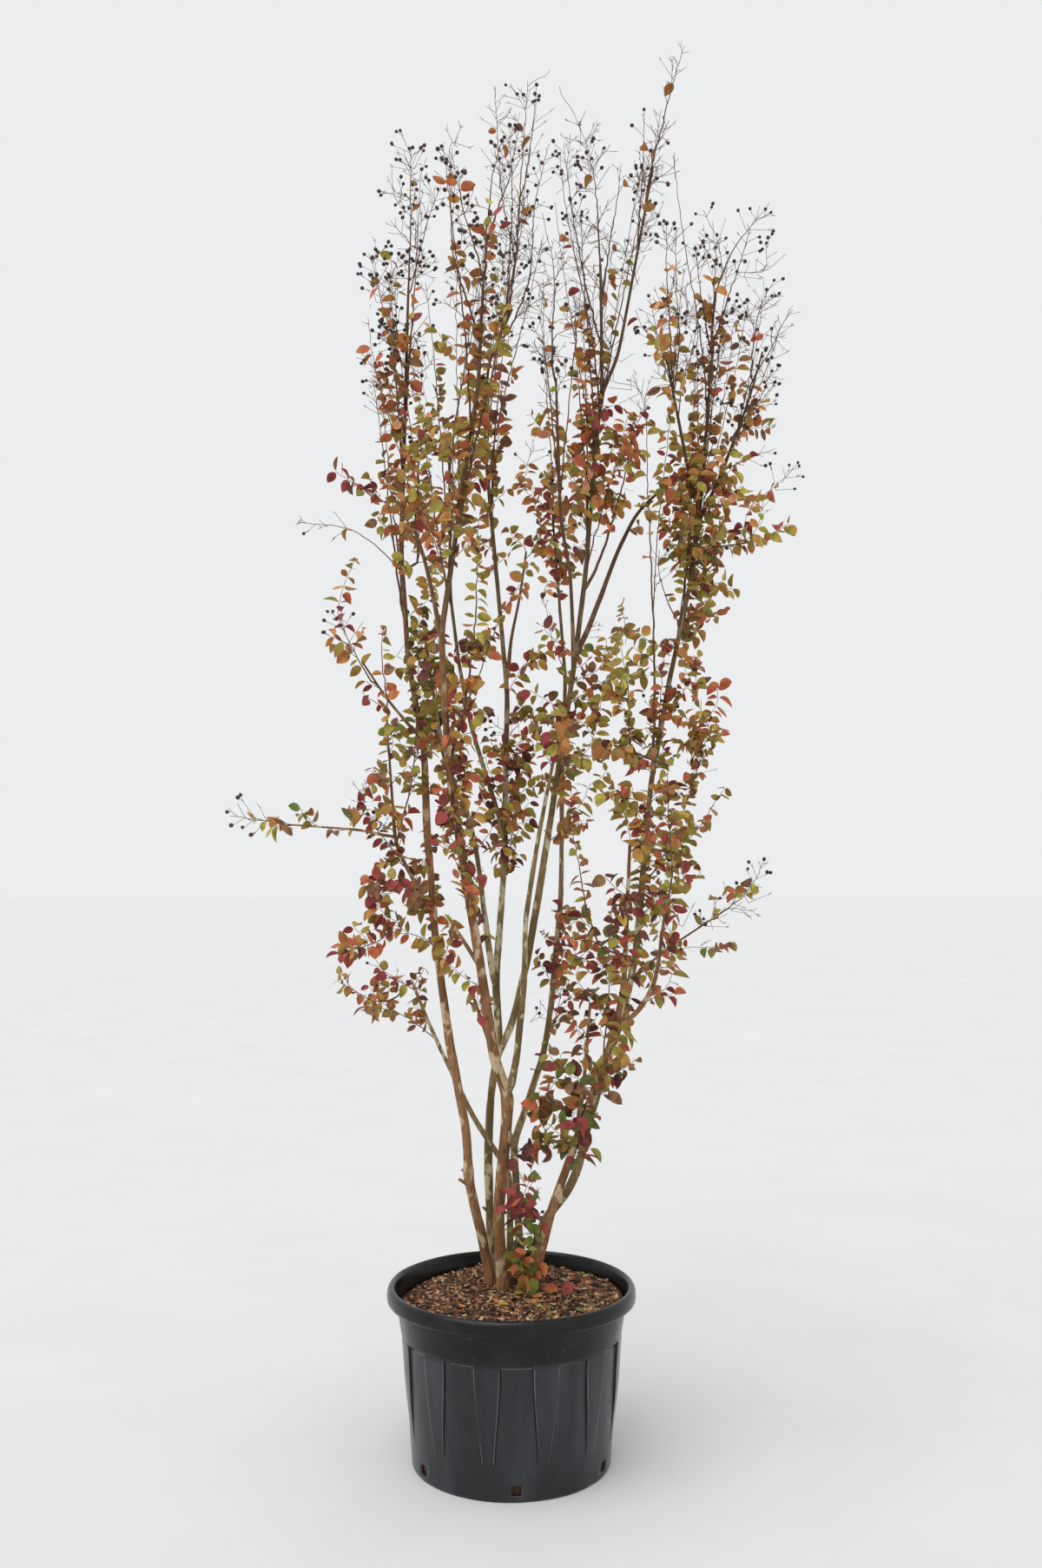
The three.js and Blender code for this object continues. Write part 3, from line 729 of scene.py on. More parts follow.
# The long shoots that carry the outline: radius at the foot in metres, what each ends in, and
# the spots that it passes, in centimetres.
LONG_SHOOTS = [
    (0.0030, "leaves", (-34, -10, 178), (-29, -12, 197), (-28, -12, 207), (-27, -10, 246)),
    (0.0030, "seeds", (-40, -10, 225), (-45, -10, 233), (-48, -11, 239), (-51, -11, 247)),
    (0.0022, "seeds", (-66, -24, 185), (-71, -25, 186), (-79, -26, 187)),
    (0.0052, "leaves", (-18, -23, 200), (-13, -26, 218), (-10, -28, 241), (-9, -29, 270)),
    (0.0022, "leaves", (-12, -26, 219), (-9, -25, 227), (-4, -24, 242), (3, -22, 254)),
    (0.0060, "leaves", (23, 10, 258), (28, 8, 269), (35, 2, 293), (37, 0, 309)),
    (0.0040, "leaves", (43, -29, 156), (45, -29, 172), (44, -28, 189), (44, -27, 201)),
    (0.0034, "leaves", (25, -18, 149), (21, -19, 162), (17, -20, 186), (16, -20, 192)),
    (0.0036, "leaves", (33, -28, 205), (33, -27, 217), (33, -26, 224), (31, -25, 236)),
    (0.0022, "leaves", (44, 14, 201), (45, 12, 212), (46, 10, 228), (47, 9, 240)),
    (0.0028, "bare", (53, 15, 247), (49, 14, 253), (45, 14, 265), (46, 14, 271)),
    (0.0022, "bare", (17, 30, 230), (17, 30, 235), (13, 28, 244), (10, 26, 258)),
    (0.0030, "leaves", (40, 14, 167), (48, 15, 175), (57, 16, 183), (66, 16, 197)),
    (0.0022, "seeds", (70, 21, 161), (75, 21, 166), (79, 22, 174)),
    (0.0048, "leaves", (-28, 1, 263), (-29, 0, 277), (-28, -2, 292), (-26, -3, 311)),
    (0.0038, "leaves", (-36, -13, 207), (-36, -14, 222), (-38, -15, 232), (-37, -15, 243)),
    (0.0042, "leaves", (-32, 35, 137), (-38, 35, 129), (-45, 34, 129), (-56, 33, 136)),
    (0.0042, "seeds", (-7, -39, 336), (-7, -39, 348), (-5, -39, 365), (-3, -39, 374)),
    (0.0036, "seeds", (-7, -39, 344), (-4, -37, 356), (-1, -36, 363), (2, -35, 379)),
    (0.0036, "seeds", (-7, -39, 333), (-10, -39, 345), (-13, -40, 353), (-15, -40, 363)),
    (0.0038, "seeds", (-8, -37, 317), (-16, -39, 341), (-17, -39, 360), (-17, -39, 372)),
    (0.0040, "bare", (-2, 32, 351), (-1, 32, 371), (0, 32, 391), (-1, 32, 415)),
    (0.0038, "seeds", (-2, 31, 344), (6, 30, 364), (7, 30, 388), (12, 29, 409)),
    (0.0044, "seeds", (-2, 32, 348), (1, 33, 371), (3, 33, 401), (5, 33, 432)),
    (0.0026, "bare", (1, 33, 371), (-4, 33, 395), (-5, 34, 416), (-6, 34, 430)),
    (0.0026, "seeds", (3, 33, 392), (6, 33, 409), (8, 33, 430)),
    (0.0034, "seeds", (-32, 12, 369), (-32, 12, 382), (-32, 12, 399)),
    (0.0028, "seeds", (-32, 12, 351), (-29, 10, 364), (-26, 9, 376), (-22, 8, 384)),
    (0.0030, "seeds", (-33, 12, 326), (-37, 11, 336), (-41, 10, 349), (-44, 10, 363)),
    (0.0026, "seeds", (-34, 11, 315), (-39, 10, 323), (-44, 9, 328), (-47, 8, 332)),
    (0.0040, "seeds", (28, 9, 353), (27, 9, 372), (26, 9, 387), (23, 9, 400)),
    (0.0036, "bare", (28, 9, 347), (30, 9, 364), (33, 9, 380), (34, 9, 392)),
    (0.0036, "seeds", (28, 9, 333), (23, 8, 352), (19, 8, 374), (16, 8, 398)),
    (0.0038, "bare", (12, -15, 314), (12, -15, 330), (13, -16, 345), (11, -16, 356)),
    (0.0040, "bare", (41, 7, 376), (43, 7, 388), (50, 7, 416), (54, 7, 429)),
    (0.0030, "seeds", (39, 7, 364), (40, 7, 380), (41, 7, 393), (41, 6, 407)),
    (0.0026, "seeds", (42, 7, 385), (44, 7, 391), (47, 7, 394)),
    (0.0038, "seeds", (48, -10, 316), (47, -11, 331), (46, -11, 347), (46, -11, 363)),
    (0.0028, "bare", (48, -9, 309), (50, -10, 327), (49, -10, 345), (49, -10, 362)),
    (0.0044, "seeds", (63, 17, 340), (65, 18, 356), (71, 22, 371), (82, 28, 386)),
    (0.0038, "seeds", (63, 17, 336), (64, 17, 353), (65, 17, 372)),
    (0.0034, "seeds", (63, 17, 334), (60, 16, 350), (58, 16, 369)),
    (0.0034, "seeds", (64, 17, 338), (69, 20, 354), (74, 24, 368), (77, 25, 379)),
    (0.0036, "seeds", (77, 30, 329), (80, 30, 353), (83, 30, 359), (85, 30, 363)),
    (0.0032, "bare", (76, 29, 325), (79, 30, 333), (83, 30, 338), (91, 30, 355)),
    (0.0028, "seeds", (69, 26, 308), (76, 28, 318), (82, 29, 324), (86, 30, 331)),
    (0.0040, "leaves", (59, 17, 270), (69, 19, 274), (78, 20, 275), (88, 21, 281)),
    (0.0028, "seeds", (66, 23, 298), (75, 26, 303), (81, 28, 306), (85, 28, 307)),
    (0.0022, "bare", (-33, -2, 261), (-41, -5, 269), (-49, -9, 273), (-63, -11, 274)),
    (0.0030, "leaves", (-28, -20, 270), (-36, -16, 278), (-44, -12, 284), (-52, -10, 289)),
]

# For each kind of part: upright leaders to a litre and their reach, then the same of side shoots.
HABITS = {
    "leaves": (0.06, 0.50, 2.3, 0.12),
    "shoots": (0.0, 0.3, 3.4, 0.10),
    "seeds": (0.32, 0.85, 1.25, 0.22),
    "twigs": (0.0, 0.3, 1.8, 0.12),
}
CROWN_PARTS = sorted(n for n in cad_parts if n.split("_")[0] in HABITS)

# Parts with more or fewer side shoots than their kind, as a share of it.
FULLNESS = {
    "shoots_at_foot": 1.9, "leaves_upper_front": 0.42, "leaves_upper_back": 0.42,
    "leaves_left_upper": 0.42, "leaves_back_left": 0.44, "leaves_middle_upper": 0.85,
    "leaves_right_upper": 1.05, "leaves_right_back": 0.72, "leaves_right_front": 0.72,
    "leaves_centre_front": 2.3, "leaves_centre_back": 1.8, "leaves_left_middle": 0.7,
    "leaves_low_left": 0.5, "twigs_far_left": 1.9, "seeds_front": 1.0, "seeds_middle": 1.7,
    "seeds_right": 1.5, "seeds_back": 1.4, "seeds_tall": 1.7,
}

# Loose sprays between the parts: middle, half size, shoots, and whose tints they share.
LOOSE_SPRAYS = [
    ([-0.15, -0.15, 2.18], [0.07, 0.12, 0.22], 26, "leaves_centre_front"),
    ([0.21, 0.10, 2.04], [0.08, 0.15, 0.21], 26, "leaves_middle_right"),
    ([0.31, -0.25, 2.02], [0.06, 0.10, 0.24], 24, "leaves_right_middle"),
    ([0.52, 0.15, 1.84], [0.10, 0.10, 0.15], 12, "leaves_right_back"),
    ([0.62, 0.17, 2.60], [0.09, 0.12, 0.14], 22, "leaves_right_middle"),
    ([0.24, -0.15, 1.20], [0.07, 0.08, 0.14], 9, "shoots_low_right"),
    ([0.08, 0.00, 0.88], [0.05, 0.06, 0.18], 9, "shoots_low_right"),
    ([-0.43, -0.10, 1.60], [0.09, 0.08, 0.13], 16, "leaves_left_middle"),
    ([-0.24, 0.00, 2.27], [0.06, 0.10, 0.16], 16, "leaves_green_left"),
    ([0.10, 0.10, 2.24], [0.08, 0.12, 0.16], 8, "leaves_centre_back"),
    ([0.02, -0.10, 0.79], [0.04, 0.03, 0.05], 5, "shoots_crimson"),
    ([0.04, -0.07, 0.62], [0.035, 0.04, 0.09], 7, "shoots_at_foot"),
    ([-0.14, -0.10, 1.43], [0.06, 0.08, 0.12], 8, "leaves_centre_front"),
]

# The share of the shoots in a part that end in seed heads, and the share that end bare.
BEARING = {
    "seeds_left": (0.60, 0.25), "seeds_back": (0.30, 0.55), "seeds_front": (0.36, 0.42),
    "seeds_middle": (0.08, 0.72), "seeds_tall": (0.10, 0.70), "seeds_inner_left": (0.12, 0.60),
    "seeds_inner_right": (0.15, 0.60), "seeds_right": (0.48, 0.38), "seeds_far_right": (0.40, 0.45),
    "twigs_right_low": (0.35, 0.15), "twigs_left_high": (0.30, 0.10),
    "twigs_far_left": (0.05, 0.05),
}


class Wood:
    """All the wood grown so far, as points with the way it runs and how thick it is."""

    def __init__(self):
        self.at = np.zeros((0, 3))
        self.way = np.zeros((0, 3))
        self.girth = np.zeros(0)

    def add(self, line, radii):
        self.at = np.vstack([self.at, line])
        self.way = np.vstack([self.way, unit(np.gradient(line, axis=0))])
        self.girth = np.r_[self.girth, radii]

    def springing_point(self, tip, reach, upright):
        """Where a shoot to this tip would spring from: about its reach away, below, and at a
        narrow angle, the more so for an upright one."""
        gap = tip - self.at
        length = np.maximum(np.linalg.norm(gap, axis=1), 1e-6)
        along = (gap * self.way).sum(axis=1) / length
        rise = gap[:, 2] / length
        if upright:
            cost = 1.2 * np.abs(length / reach - 1) + 9 * np.abs(along - 0.97)
            cost += 3 * np.maximum(0.9 - rise, 0)
            cost += 400 * np.maximum(0.0035 - self.girth, 0)
            cost += 30 * np.maximum(np.linalg.norm(gap[:, :2], axis=1) - 0.18, 0)
        else:
            cost = length / reach + 1.2 * np.abs(along - 0.7) + 1.5 * np.maximum(0.1 - rise, 0)
        cost[length < 0.35 * reach] = np.inf
        return int(np.argmin(cost))


def part_solid(name):
    """A part of the crown as a search tree over its faces, with its low and high corners."""
    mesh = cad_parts[name].data
    shell = BVHTree.FromPolygons([v.co for v in mesh.vertices], [p.vertices for p in mesh.polygons])
    low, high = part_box(name)
    return shell, np.array(low), np.array(high)


def is_inside(shell, spot):
    surface, normal, _, _ = shell.find_nearest(Vector(spot))
    return (Vector(spot) - surface).dot(normal) < 0


def part_litres(name):
    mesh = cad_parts[name].data
    mesh.calc_loop_triangles()
    corners = np.array([v.co for v in mesh.vertices])
    a, b, c = (corners[np.array([t.vertices[k] for t in mesh.loop_triangles])] for k in range(3))
    return abs((a * np.cross(b, c)).sum() / 6) * 1000


def high_tips(name, count, rng):
    """Ends of the upright shoots of a part: spread over it, and mostly in its upper half."""
    shell, low, high = part_solid(name)
    picked = []
    while len(picked) < count:
        best, best_gap = None, -1.0
        for _ in range(14):
            share = np.array([rng.random(), rng.random(), rng.random() ** 0.6])
            spot = low + share * (high - low)
            if is_inside(shell, spot):
                gap = min((math.hypot(*(spot - other)[:2]) for other in picked), default=1.0)
                if gap > best_gap:
                    best, best_gap = spot, gap
        if best is not None:
            picked.append(best)
    return picked


def side_tips(name, count, reach, wood, rng):
    """Ends of the side shoots of a part: clear of each other, most of them near the wood in it."""
    shell, low, high = part_solid(name)
    near = np.flatnonzero(((wood.at > low - 0.03) & (wood.at < high + 0.03)).all(axis=1))
    picked, drawn = [], []
    while len(picked) < count:
        if len(near) and rng.random() < 0.6:
            way = unit(np.array([rng.gauss(0, 1), rng.gauss(0, 1), rng.gauss(0.4, 0.8)]))
            spot = wood.at[near[rng.randrange(len(near))]] + way * reach * rng.uniform(0.35, 1.2)
        else:
            spot = low + np.array([rng.random() for _ in range(3)]) * (high - low)
        if is_inside(shell, spot):
            drawn.append(spot)
        if len(drawn) == 4:
            gaps = [min((np.linalg.norm(s - other) for other in picked), default=0) for s in drawn]
            picked.append(drawn[int(np.argmax(gaps))])
            drawn = []
    return picked


def bend(start, leaving, tip, arriving, step):
    """A smooth shoot from start to tip that leaves and arrives along the given ways."""
    length = np.linalg.norm(tip - start)
    first, last = start + leaving * length * 0.36, tip - arriving * length * 0.36
    t = np.linspace(0, 1, max(4, round(length / step) + 1))[:, None]
    return (
        start * (1 - t) ** 3 + 3 * first * t * (1 - t) ** 2 + 3 * last * t**2 * (1 - t) + tip * t**3
    )


def add_shoot(wood, rng, line, thick, bears, part):
    """Kinks a shoot's line a little at every joint, adds it to the wood and describes it."""
    kinks = np.array([[rng.gauss(0, 0.0013) for _ in range(3)] for _ in line])
    kinks[0] = 0
    line = line + kinks
    radii = thick + (TWIG_TIP - thick) * np.linspace(0, 1, len(line)) ** 0.8
    wood.add(line[1:], radii[1:])
    return {"line": line, "radii": radii, "bears": bears, "part": part}


def grow(wood, rng, tip, reach, bears, part, upright=False):
    """One shoot to a tip, from the wood that suits it best."""
    base = wood.springing_point(tip, reach, upright)
    start, way = wood.at[base], wood.way[base]
    gap = tip - start
    length = np.linalg.norm(gap)
    stray = np.array([rng.gauss(0, 0.05 if upright else 0.14) for _ in range(3)])
    leaving = unit(0.7 * way + 0.7 * gap / length + stray)
    arriving = unit(0.8 * gap / length + np.array([0, 0, 0.45]) + stray)
    line = bend(start, leaving, tip, arriving, TWIG_RING)
    thick = min(0.62 * wood.girth[base], TWIG_LEAST + (0.0040 if upright else 0.0075) * length)
    return add_shoot(wood, rng, line, max(thick, TWIG_LEAST), bears, part)


def ends_in(part, rng):
    seeds, bare = BEARING.get(part, (0.02, 0.03))
    return rng.choices(["seeds", "bare", "leaves"], [seeds, bare, max(1 - seeds - bare, 0.0)])[0]


def grow_crown():
    """All the shoots: the long ones first, then each part's leaders, then its side shoots."""
    rng = random.Random(7)
    wood = Wood()
    for line, radii in LIMBS.values():
        keep = line[:, 2] > CROWN_FOOT
        wood.add(line[keep], radii[keep])
    shoots = []
    middles = {part: (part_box(part)[0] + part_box(part)[1]) / 2 for part in CROWN_PARTS}
    for thick, bears, *spots in LONG_SHOOTS:
        bends = np.array(spots) / 100
        start = wood.at[int(np.argmin(np.linalg.norm(wood.at - bends[0], axis=1)))]
        line = ease(resample(np.vstack([start, bends]), 0.02), 4)
        part = min(CROWN_PARTS, key=lambda n: (Vector(bends[-1]) - middles[n]).length)
        shoots.append(add_shoot(wood, rng, line, thick, bears, part))
    for part in CROWN_PARTS:
        to_a_litre, reach, _, _ = HABITS[part.split("_")[0]]
        tips = high_tips(part, round(part_litres(part) * to_a_litre), rng)
        for tip in sorted(tips, key=lambda p: p[2]):
            shoots.append(grow(wood, rng, tip, reach, ends_in(part, rng), part, upright=True))
    for part in CROWN_PARTS:
        _, _, to_a_litre, reach = HABITS[part.split("_")[0]]
        count = round(part_litres(part) * to_a_litre * FULLNESS.get(part, 1.0))
        tips = side_tips(part, count, reach, wood, rng)
        for tip in sorted(tips, key=lambda p: p[2]):
            shoots.append(grow(wood, rng, tip, reach, ends_in(part, rng), part))
    for middle, half, count, part in LOOSE_SPRAYS:
        for _ in range(count):
            tip = np.array(middle) + np.array(half) * [rng.uniform(-1, 1) for _ in range(3)]
            shoots.append(grow(wood, rng, tip, SPRAY_REACH, "leaves", part))
    return shoots


SHOOTS = grow_crown()


def seed_head(rng, shoot):
    """A loose head at the end of a shoot: its stalks, and where each capsule sits."""
    line = shoot["line"]
    way = unit(line[-1] - line[-3])
    bearing = BEARING_HEAD if shoot["bears"] == "seeds" else BARE_HEAD
    stalks, capsules = [], []
    size = rng.uniform(*HEAD_SIZES)
    sideways = unit(np.cross(way, [rng.gauss(0, 1), rng.gauss(0, 1), 0.3]))
    joints = max(2, round(size / HEAD_JOINT))
    for i in range(joints):
        share = (i + rng.uniform(-0.2, 0.2)) / joints
        place = line[-1] - way * size * (1 - share)
        sideways = unit(np.cross(way, sideways) + 0.25 * sideways)
        for hand in (-1, 1):
            if rng.random() < 0.3:
                continue
            length = (0.050 * (1 - share) + 0.018) * rng.uniform(0.6, 1.1)
            aim = unit(way * 0.75 + hand * sideways + np.array([0, 0, 0.12]))
            end = place + aim * length
            stalks.append(np.array([place, place + aim * length * 0.5 + way * 0.001, end]))
            for turn in range(rng.choice((1, 2, 2, 3))):
                spread = unit(np.cross(aim, sideways + rng.gauss(0, 0.5) * way)) * (-1) ** turn
                turned = unit(aim + (0.3 + 0.35 * turn) * spread + 0.1 * way)
                reach = rng.uniform(0.008, 0.020)
                stalks.append(np.array([end, end + turned * reach]))
                if rng.random() < bearing:
                    capsules.append((end + turned * reach, turned))
    if rng.random() < bearing:
        capsules.append((line[-1] + way * 0.002, way))
    return stalks, capsules


def twig_material():
    twig = Finish("twig_bark", rgb(104, 76, 56), 0.7, 0.2)
    streaks = twig.mottle(90.0, 0.3, (0.35, 0.65))
    twig.paint(streaks, rgb(122, 90, 66), rgb(78, 54, 42))
    twig.relief(streaks, 0.4, 0.0006)
    return twig.material


def build_twigs():
    """Lays out the seed heads too, and returns where their capsules sit."""
    rng = random.Random(11)
    tubes = {"lower": [], "upper": []}
    capsules = []
    for shoot in SHOOTS:
        level = "upper" if shoot["line"][-1][2] > CROWN_MIDDLE else "lower"
        tubes[level].append((shoot["line"], shoot["radii"], TWIG_SIDES))
        if shoot["bears"] in ("seeds", "bare"):
            stalks, heads = seed_head(rng, shoot)
            for stalk in stalks:
                radii = np.linspace(STALK_FOOT, STALK_END, len(stalk))
                tubes[level].append((stalk, radii, STALK_SIDES))
            capsules += heads
    material = twig_material()
    for level, parts in tubes.items():
        high = {n: sum(c.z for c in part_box(n)) > 2 * CROWN_MIDDLE for n in CROWN_PARTS}
        owned = [n for n in CROWN_PARTS if high[n] == (level == "upper")]
        corners, faces = join_tubes(parts)
        make_piece("twigs_" + level, corners, faces, material, owned)
    return capsules


CAPSULES = build_twigs()

# ---------------------------------------------------------------- leaves
# Broad oval leaves on hardly any stalk, in twos along each shoot, thin, cupped and hanging.
# Autumn has turned them spray by spray: dark red low on the right, more green on the left.
# Some have dropped and lie on the compost.

# Each tint: its colour, and the colour that it is turning to.
TINTS = {
    "burgundy": (rgb(120, 62, 54), rgb(86, 54, 44)),
    "crimson": (rgb(160, 72, 66), rgb(130, 62, 58)),
    "brick": (rgb(184, 94, 66), rgb(186, 120, 70)),
    "rust": (rgb(178, 108, 62), rgb(154, 128, 66)),
    "salmon": (rgb(206, 130, 98), rgb(208, 160, 108)),
    "orange": (rgb(206, 144, 74), rgb(188, 104, 66)),
    "ochre": (rgb(190, 156, 76), rgb(188, 128, 68)),
    "yellow": (rgb(190, 172, 78), rgb(152, 148, 66)),
    "olive": (rgb(156, 146, 66), rgb(160, 122, 66)),
    "moss": (rgb(108, 110, 54), rgb(90, 84, 48)),
    "green": (rgb(112, 130, 60), rgb(150, 146, 66)),
    "brown": (rgb(144, 106, 70), rgb(110, 76, 58)),
}

# How often each tint comes up in a part of the crown.
DARK = dict(burgundy=5, crimson=6, brick=4, rust=3, moss=4, olive=7, brown=3, ochre=3)
WARM = dict(brick=5, rust=4, orange=1, ochre=5, yellow=3, brown=5, crimson=5, olive=7, burgundy=4)
MIXED = dict(yellow=4, olive=8, rust=5, ochre=7, brick=4, burgundy=1, green=2, brown=2, crimson=3)
FRESH = dict(green=6, yellow=7, moss=5, olive=10, rust=2, ochre=5, burgundy=1, brown=2)
PALE = dict(rust=4, ochre=8, yellow=4, orange=3, brick=4, olive=8, brown=2, salmon=2, crimson=4)
RUSTY = dict(rust=5, ochre=6, yellow=3, orange=3, brick=4, olive=7, brown=4, salmon=1, crimson=2)
CRIMSON = dict(crimson=6, burgundy=3, brick=2)
WINE = dict(burgundy=5, crimson=4, brick=3, moss=4, green=2, brown=3, rust=3, olive=5)
FOOT = dict(green=5, yellow=4, orange=2, rust=2, brick=3, moss=3)
PART_TINTS = {
    "shoots_crimson": CRIMSON, "shoots_at_foot": FOOT, "shoots_low_right": WINE,
    "leaves_inner_front": DARK, "leaves_inner_back": DARK, "leaves_right_front": DARK,
    "leaves_right_back": MIXED, "twigs_right_low": MIXED, "leaves_low_left": WARM,
    "leaves_left_middle": WARM, "leaves_left_high": MIXED, "twigs_far_left": FRESH,
    "leaves_centre_front": WARM, "leaves_centre_back": WARM, "leaves_front_tip": WARM,
    "leaves_right_middle": MIXED, "leaves_middle_right": MIXED, "leaves_green_left": FRESH,
}
LEAF_SPACING = 0.0245
LEAF_LENGTHS = (0.026, 0.048)
LOW_LEAF = 1.15  # how much longer the leaves of the low shoots are
LEAFLESS_FROM, LEAFLESS_TO = 3.05, 3.72  # heights over which leaves give way to seeds
FALLEN_LEAVES, FALLEN_REACH, FALLEN_LENGTHS = 58, 0.31, (0.014, 0.034)
LEANING_LEAVES = [
    (0.095, -0.01, 0.5, "crimson"), (0.135, -0.02, 2.7, "brick"), (0.15, -0.03, 0.9, "crimson"),
]
LEAF_HALF_WIDTHS = [0.0, 0.56, 0.95, 1.0, 0.60, 0.0]
LEAF_STATIONS = [0.0, 0.10, 0.30, 0.56, 0.82, 1.0]


def leaf_corners(base, along, facing, length, width, folds, curl):
    """Fourteen corners of one blade: the midrib, then the left edge and the right edge."""
    along = unit(along)
    facing = unit(facing - (facing @ along) * along)
    across = np.cross(facing, along)
    corners = []
    for hand in (0, 1, -1):
        for t, half in zip(LEAF_STATIONS, LEAF_HALF_WIDTHS):
            if hand and half == 0:
                continue
            out = hand * half * width / 2
            lift = folds[hand] * abs(out) - curl * length * t * t
            corners.append(base + along * length * t + across * out + facing * lift)
    return corners


def leaf_faces():
    faces = []
    for edge in (6, 10):
        turn = 1 if edge == 6 else -1
        strip = [(0, edge, 1), (5, 4, edge + 3)]
        strip += [(i, edge + i - 1, edge + i, i + 1) for i in range(1, 4)]
        faces += [face[::turn] for face in strip]
    return faces


def leaf_share(shoot, spot):
    """How leafy the crown is at a spot: full up to the shoulders, nearly bare among the seeds."""
    if shoot["part"].startswith(("leaves", "shoots")):
        return 0.9
    if shoot["part"].startswith("twigs"):
        return 0.7
    fade = smoothstep(LEAFLESS_FROM, LEAFLESS_TO, spot[2])
    return 0.05 + 0.8 * (1 - fade) ** 1.3


def lay_leaves():
    """Where every leaf sits, by tint: base, way, facing and size."""
    rng = random.Random(23)
    leaves = {tint: [] for tint in TINTS}
    for shoot in SHOOTS:
        mix = PART_TINTS.get(shoot["part"], RUSTY if shoot["part"].startswith("seeds") else PALE)
        names, weights = list(mix), list(mix.values())
        spray = rng.choices(names, weights)[0]
        line = resample(shoot["line"], LEAF_SPACING)
        ways = unit(np.gradient(line, axis=0))
        first = 1 if len(line) < 8 else len(line) // 3
        last = len(line) - (0 if shoot["bears"] == "leaves" else 4)
        sparse = 0.25 if shoot["bears"] == "bare" else 1.0
        longer = LOW_LEAF if shoot["part"].startswith("shoots") else 1
        side = unit(np.cross(ways[0], [rng.gauss(0, 1), rng.gauss(0, 1), 0.2]))
        for spot, way in list(zip(line, ways))[first:last]:
            side = unit(side - (side @ way) * way)
            side = unit(side + 0.5 * np.cross(way, side) * rng.uniform(0.2, 1))
            for hand in (-1, 1):
                if rng.random() > sparse * leaf_share(shoot, spot):
                    continue
                droop = np.array([0, 0, rng.uniform(-1.0, 0.15)])
                aim = unit(hand * side + 0.4 * way + droop)
                tilt = np.array([rng.gauss(0, 0.5), rng.gauss(0, 0.5), rng.uniform(0.2, 1)])
                facing = hand * side * 0.5 + tilt
                length = rng.uniform(*LEAF_LENGTHS) * longer
                tint = spray if rng.random() < 0.5 else rng.choices(names, weights)[0]
                fold = rng.uniform(0.0, 0.9)
                folds = (0, fold + rng.gauss(0, 0.25), fold + rng.gauss(0, 0.25))
                shape = (rng.uniform(0.56, 0.80) * length, folds, rng.gauss(0.15, 0.22))
                leaves[tint].append((spot + aim * 0.003, aim, facing, length, *shape))
    return leaves


def fallen_leaves(leaves):
    """Adds the leaves that lie on the compost, more of them on the right and in front, and the
    red ones that lean against each other beside the right-hand stem."""
    rng = random.Random(5)
    for x, y, turn, tint in LEANING_LEAVES:
        base = np.array([x, y, compost_height(x, y) + 0.004])
        aim = np.array([math.cos(turn), 0.2, 0.8 * math.sin(turn)])
        facing = np.array([0.1, -1.0, 0.6])
        leaves[tint].append((base, aim, facing, 0.046, 0.032, (0, 0.3, 0.1), 0.2))
    tints = ["ochre", "olive", "moss", "orange", "brick", "brown", "yellow"]
    spots = [(-0.055, -0.075, "salmon")]
    for _ in range(FALLEN_LEAVES):
        out, turn = FALLEN_REACH * math.sqrt(rng.random()), rng.gauss(-0.6, 1.1)
        spots.append((out * math.cos(turn), out * math.sin(turn), rng.choice(tints)))
    for x, y, tint in spots:
        turn = rng.uniform(0, 2 * math.pi)
        base = np.array([x, y, compost_height(x, y) + 0.006])
        aim = np.array([math.cos(turn), math.sin(turn), rng.gauss(0, 0.08)])
        facing = np.array([rng.gauss(0, 0.15), rng.gauss(0, 0.15), 1.0])
        length = 0.044 if tint == "salmon" else rng.uniform(*FALLEN_LENGTHS)
        leaves[tint].append((base, aim, facing, length, 0.66 * length, (0, 0.2, 0.2), 0.1))


def leaf_material(name, colour, turning):
    """A thin matt leaf: one colour turning to another in blotches, with slight buckling."""
    leaf = Finish("leaf_" + name, colour, 0.5, 0.22)
    leaf.paint(leaf.mottle(42.0, 1.0, (0.44, 0.60)), colour, turning)
    leaf.roughen(leaf.mottle(160.0, 1.0, (0.35, 0.65), (0.40, 0.64)))
    leaf.relief(leaf.mottle(260.0, 1.0, (0.3, 0.7)), 0.4, 0.0016)
    return leaf.material


def build_leaves():
    leaves = lay_leaves()
    fallen_leaves(leaves)
    owned = [n for n in CROWN_PARTS if n.startswith(("leaves", "shoots"))]
    blade = leaf_faces()
    for tint, laid in leaves.items():
        corners = np.array([leaf_corners(*leaf) for leaf in laid]).reshape(-1, 3)
        faces = [tuple(14 * i + c for c in face) for i in range(len(laid)) for face in blade]
        make_piece("leaves_" + tint, corners, faces, leaf_material(tint, *TINTS[tint]), owned)


build_leaves()

# ---------------------------------------------------------------- seed capsules
# Round woody capsules, dark and nearly dry, each sitting in the six-lobed cup of its flower at
# the end of a thin stalk.

CAPSULE_RADIUS = 0.0057


def capsule_shape():
    """One capsule standing on the origin: a ball with a blunt point, and its cup."""
    ball = bmesh.new()
    bmesh.ops.create_icosphere(ball, subdivisions=2, radius=1.0)
    corners = []
    for x, y, z in (v.co for v in ball.verts):
        corners.append(Vector((x, y, z * 1.06 + (0.16 if z > 0.97 else 0) + 1.0)))
    faces = [tuple(v.index for v in face.verts) for face in ball.faces]
    ball.free()
    base = len(corners)
    corners.append(Vector((0, 0, -0.15)))
    for i in range(12):
        turn, out, up = math.pi * i / 6, (1.0, 0.62)[i % 2], (0.62, 0.25)[i % 2]
        corners.append(Vector((out * math.cos(turn), out * math.sin(turn), up)))
    faces += [(base, base + 1 + (i + 1) % 12, base + 1 + i) for i in range(12)]
    return np.array(corners) * CAPSULE_RADIUS, faces


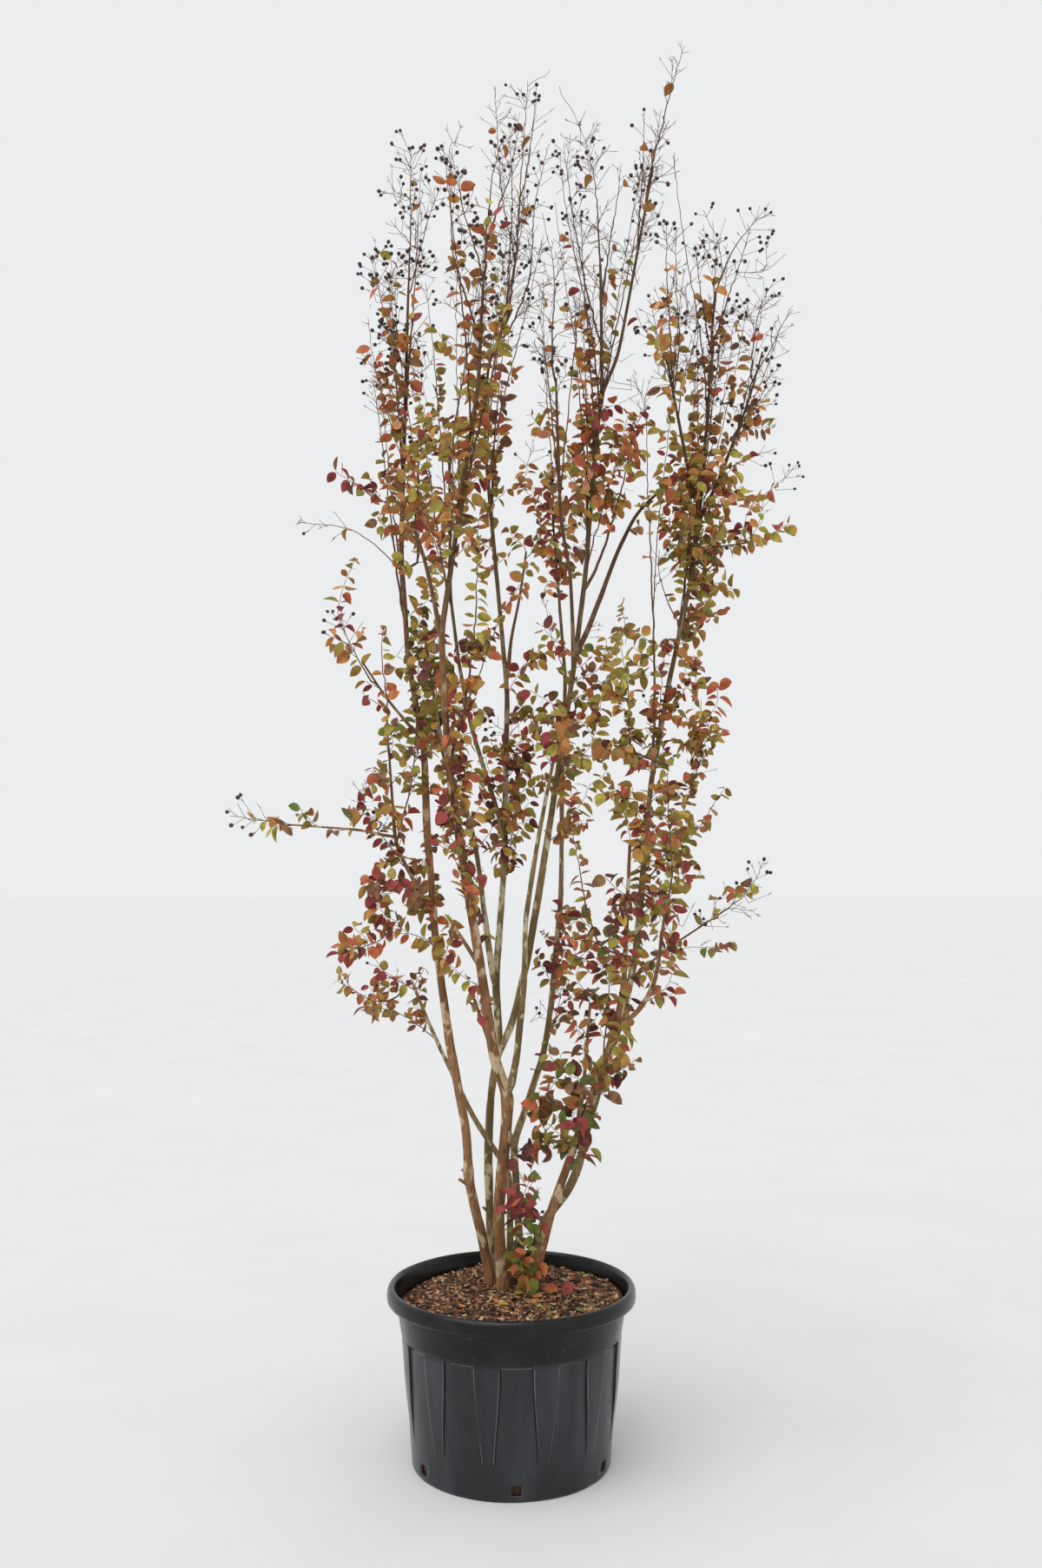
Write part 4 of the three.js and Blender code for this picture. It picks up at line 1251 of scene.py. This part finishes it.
def capsule_material():
    husk = Finish("capsule_husk", rgb(62, 44, 44), 0.5)
    blush = husk.mottle(130.0, 1.0, (0.4, 0.6))
    husk.paint(blush, rgb(38, 27, 30), rgb(72, 46, 40))
    husk.relief(blush, 0.5, 0.001)
    return husk.material


def build_capsules():
    rng = random.Random(3)
    shape, pattern = capsule_shape()
    corners, faces = [], []
    for number, (place, way) in enumerate(CAPSULES):
        size = rng.uniform(0.85, 1.15)
        turn = Vector(way).to_track_quat("Z", "Y").to_matrix()
        corners.append(shape @ np.array(turn).T * size + place)
        faces += [tuple(number * len(shape) + c for c in face) for face in pattern]
    owned = [n for n in CROWN_PARTS if n.startswith(("seeds", "twigs"))]
    make_piece("seed_capsules", np.vstack(corners), faces, capsule_material(), owned)


build_capsules()

# ---------------------------------------------------------------- floor, light and camera
# A wide pale floor under an even white sky with one broad soft sun, and the camera at standing
# height in front of the full side.

FLOOR_HALF = 60.0
SUN_STRENGTH, SUN_SPREAD = 1.3, 0.9
SUN_WAY = (0.35, 0.45, -1.0)
EYE = (0.028, -4.253, 1.750)
EYE_TILT = 93
FRAME_HEIGHT, FOCAL_LENGTH = 1805, 1638  # both in pixels


def build_floor():
    pale = Finish("pale_floor", rgb(217, 217, 217), 0.9, 0.05)
    pale.paint(pale.mottle(1.5, 1.0, (0.3, 0.7)), rgb(218, 218, 218), rgb(215, 215, 215))
    mesh = bpy.data.meshes.new("floor")
    corners = [(x * FLOOR_HALF, y * FLOOR_HALF, 0) for x, y in ((-1, -1), (1, -1), (1, 1), (-1, 1))]
    mesh.from_pydata(corners, [], [(0, 1, 2, 3)])
    mesh.materials.append(pale.material)
    floor = bpy.data.objects.new("floor", mesh)
    bpy.context.scene.collection.objects.link(floor)


def build_lights():
    world = bpy.data.worlds.new("studio")
    world.use_nodes = True
    sky = world.node_tree.nodes["Background"]
    sky.inputs["Color"].default_value = rgb(236, 237, 238)
    sky.inputs["Strength"].default_value = 1.0
    bpy.context.scene.world = world
    sun = bpy.data.lights.new("soft_sun", "SUN")
    sun.energy = SUN_STRENGTH
    sun.angle = SUN_SPREAD
    held = bpy.data.objects.new("soft_sun", sun)
    held.rotation_euler = Vector(SUN_WAY).to_track_quat("-Z", "Y").to_euler()
    bpy.context.scene.collection.objects.link(held)


def build_camera():
    camera = bpy.data.cameras.new("camera")
    camera.sensor_fit = "VERTICAL"
    camera.sensor_height = 36.0
    camera.lens = camera.sensor_height * FOCAL_LENGTH / FRAME_HEIGHT
    held = bpy.data.objects.new("camera", camera)
    held.location = EYE
    held.rotation_euler = (math.radians(EYE_TILT), 0, 0)
    bpy.context.scene.collection.objects.link(held)
    bpy.context.scene.camera = held
    bpy.context.scene.view_settings.view_transform = "Standard"


build_floor()
build_lights()
build_camera()
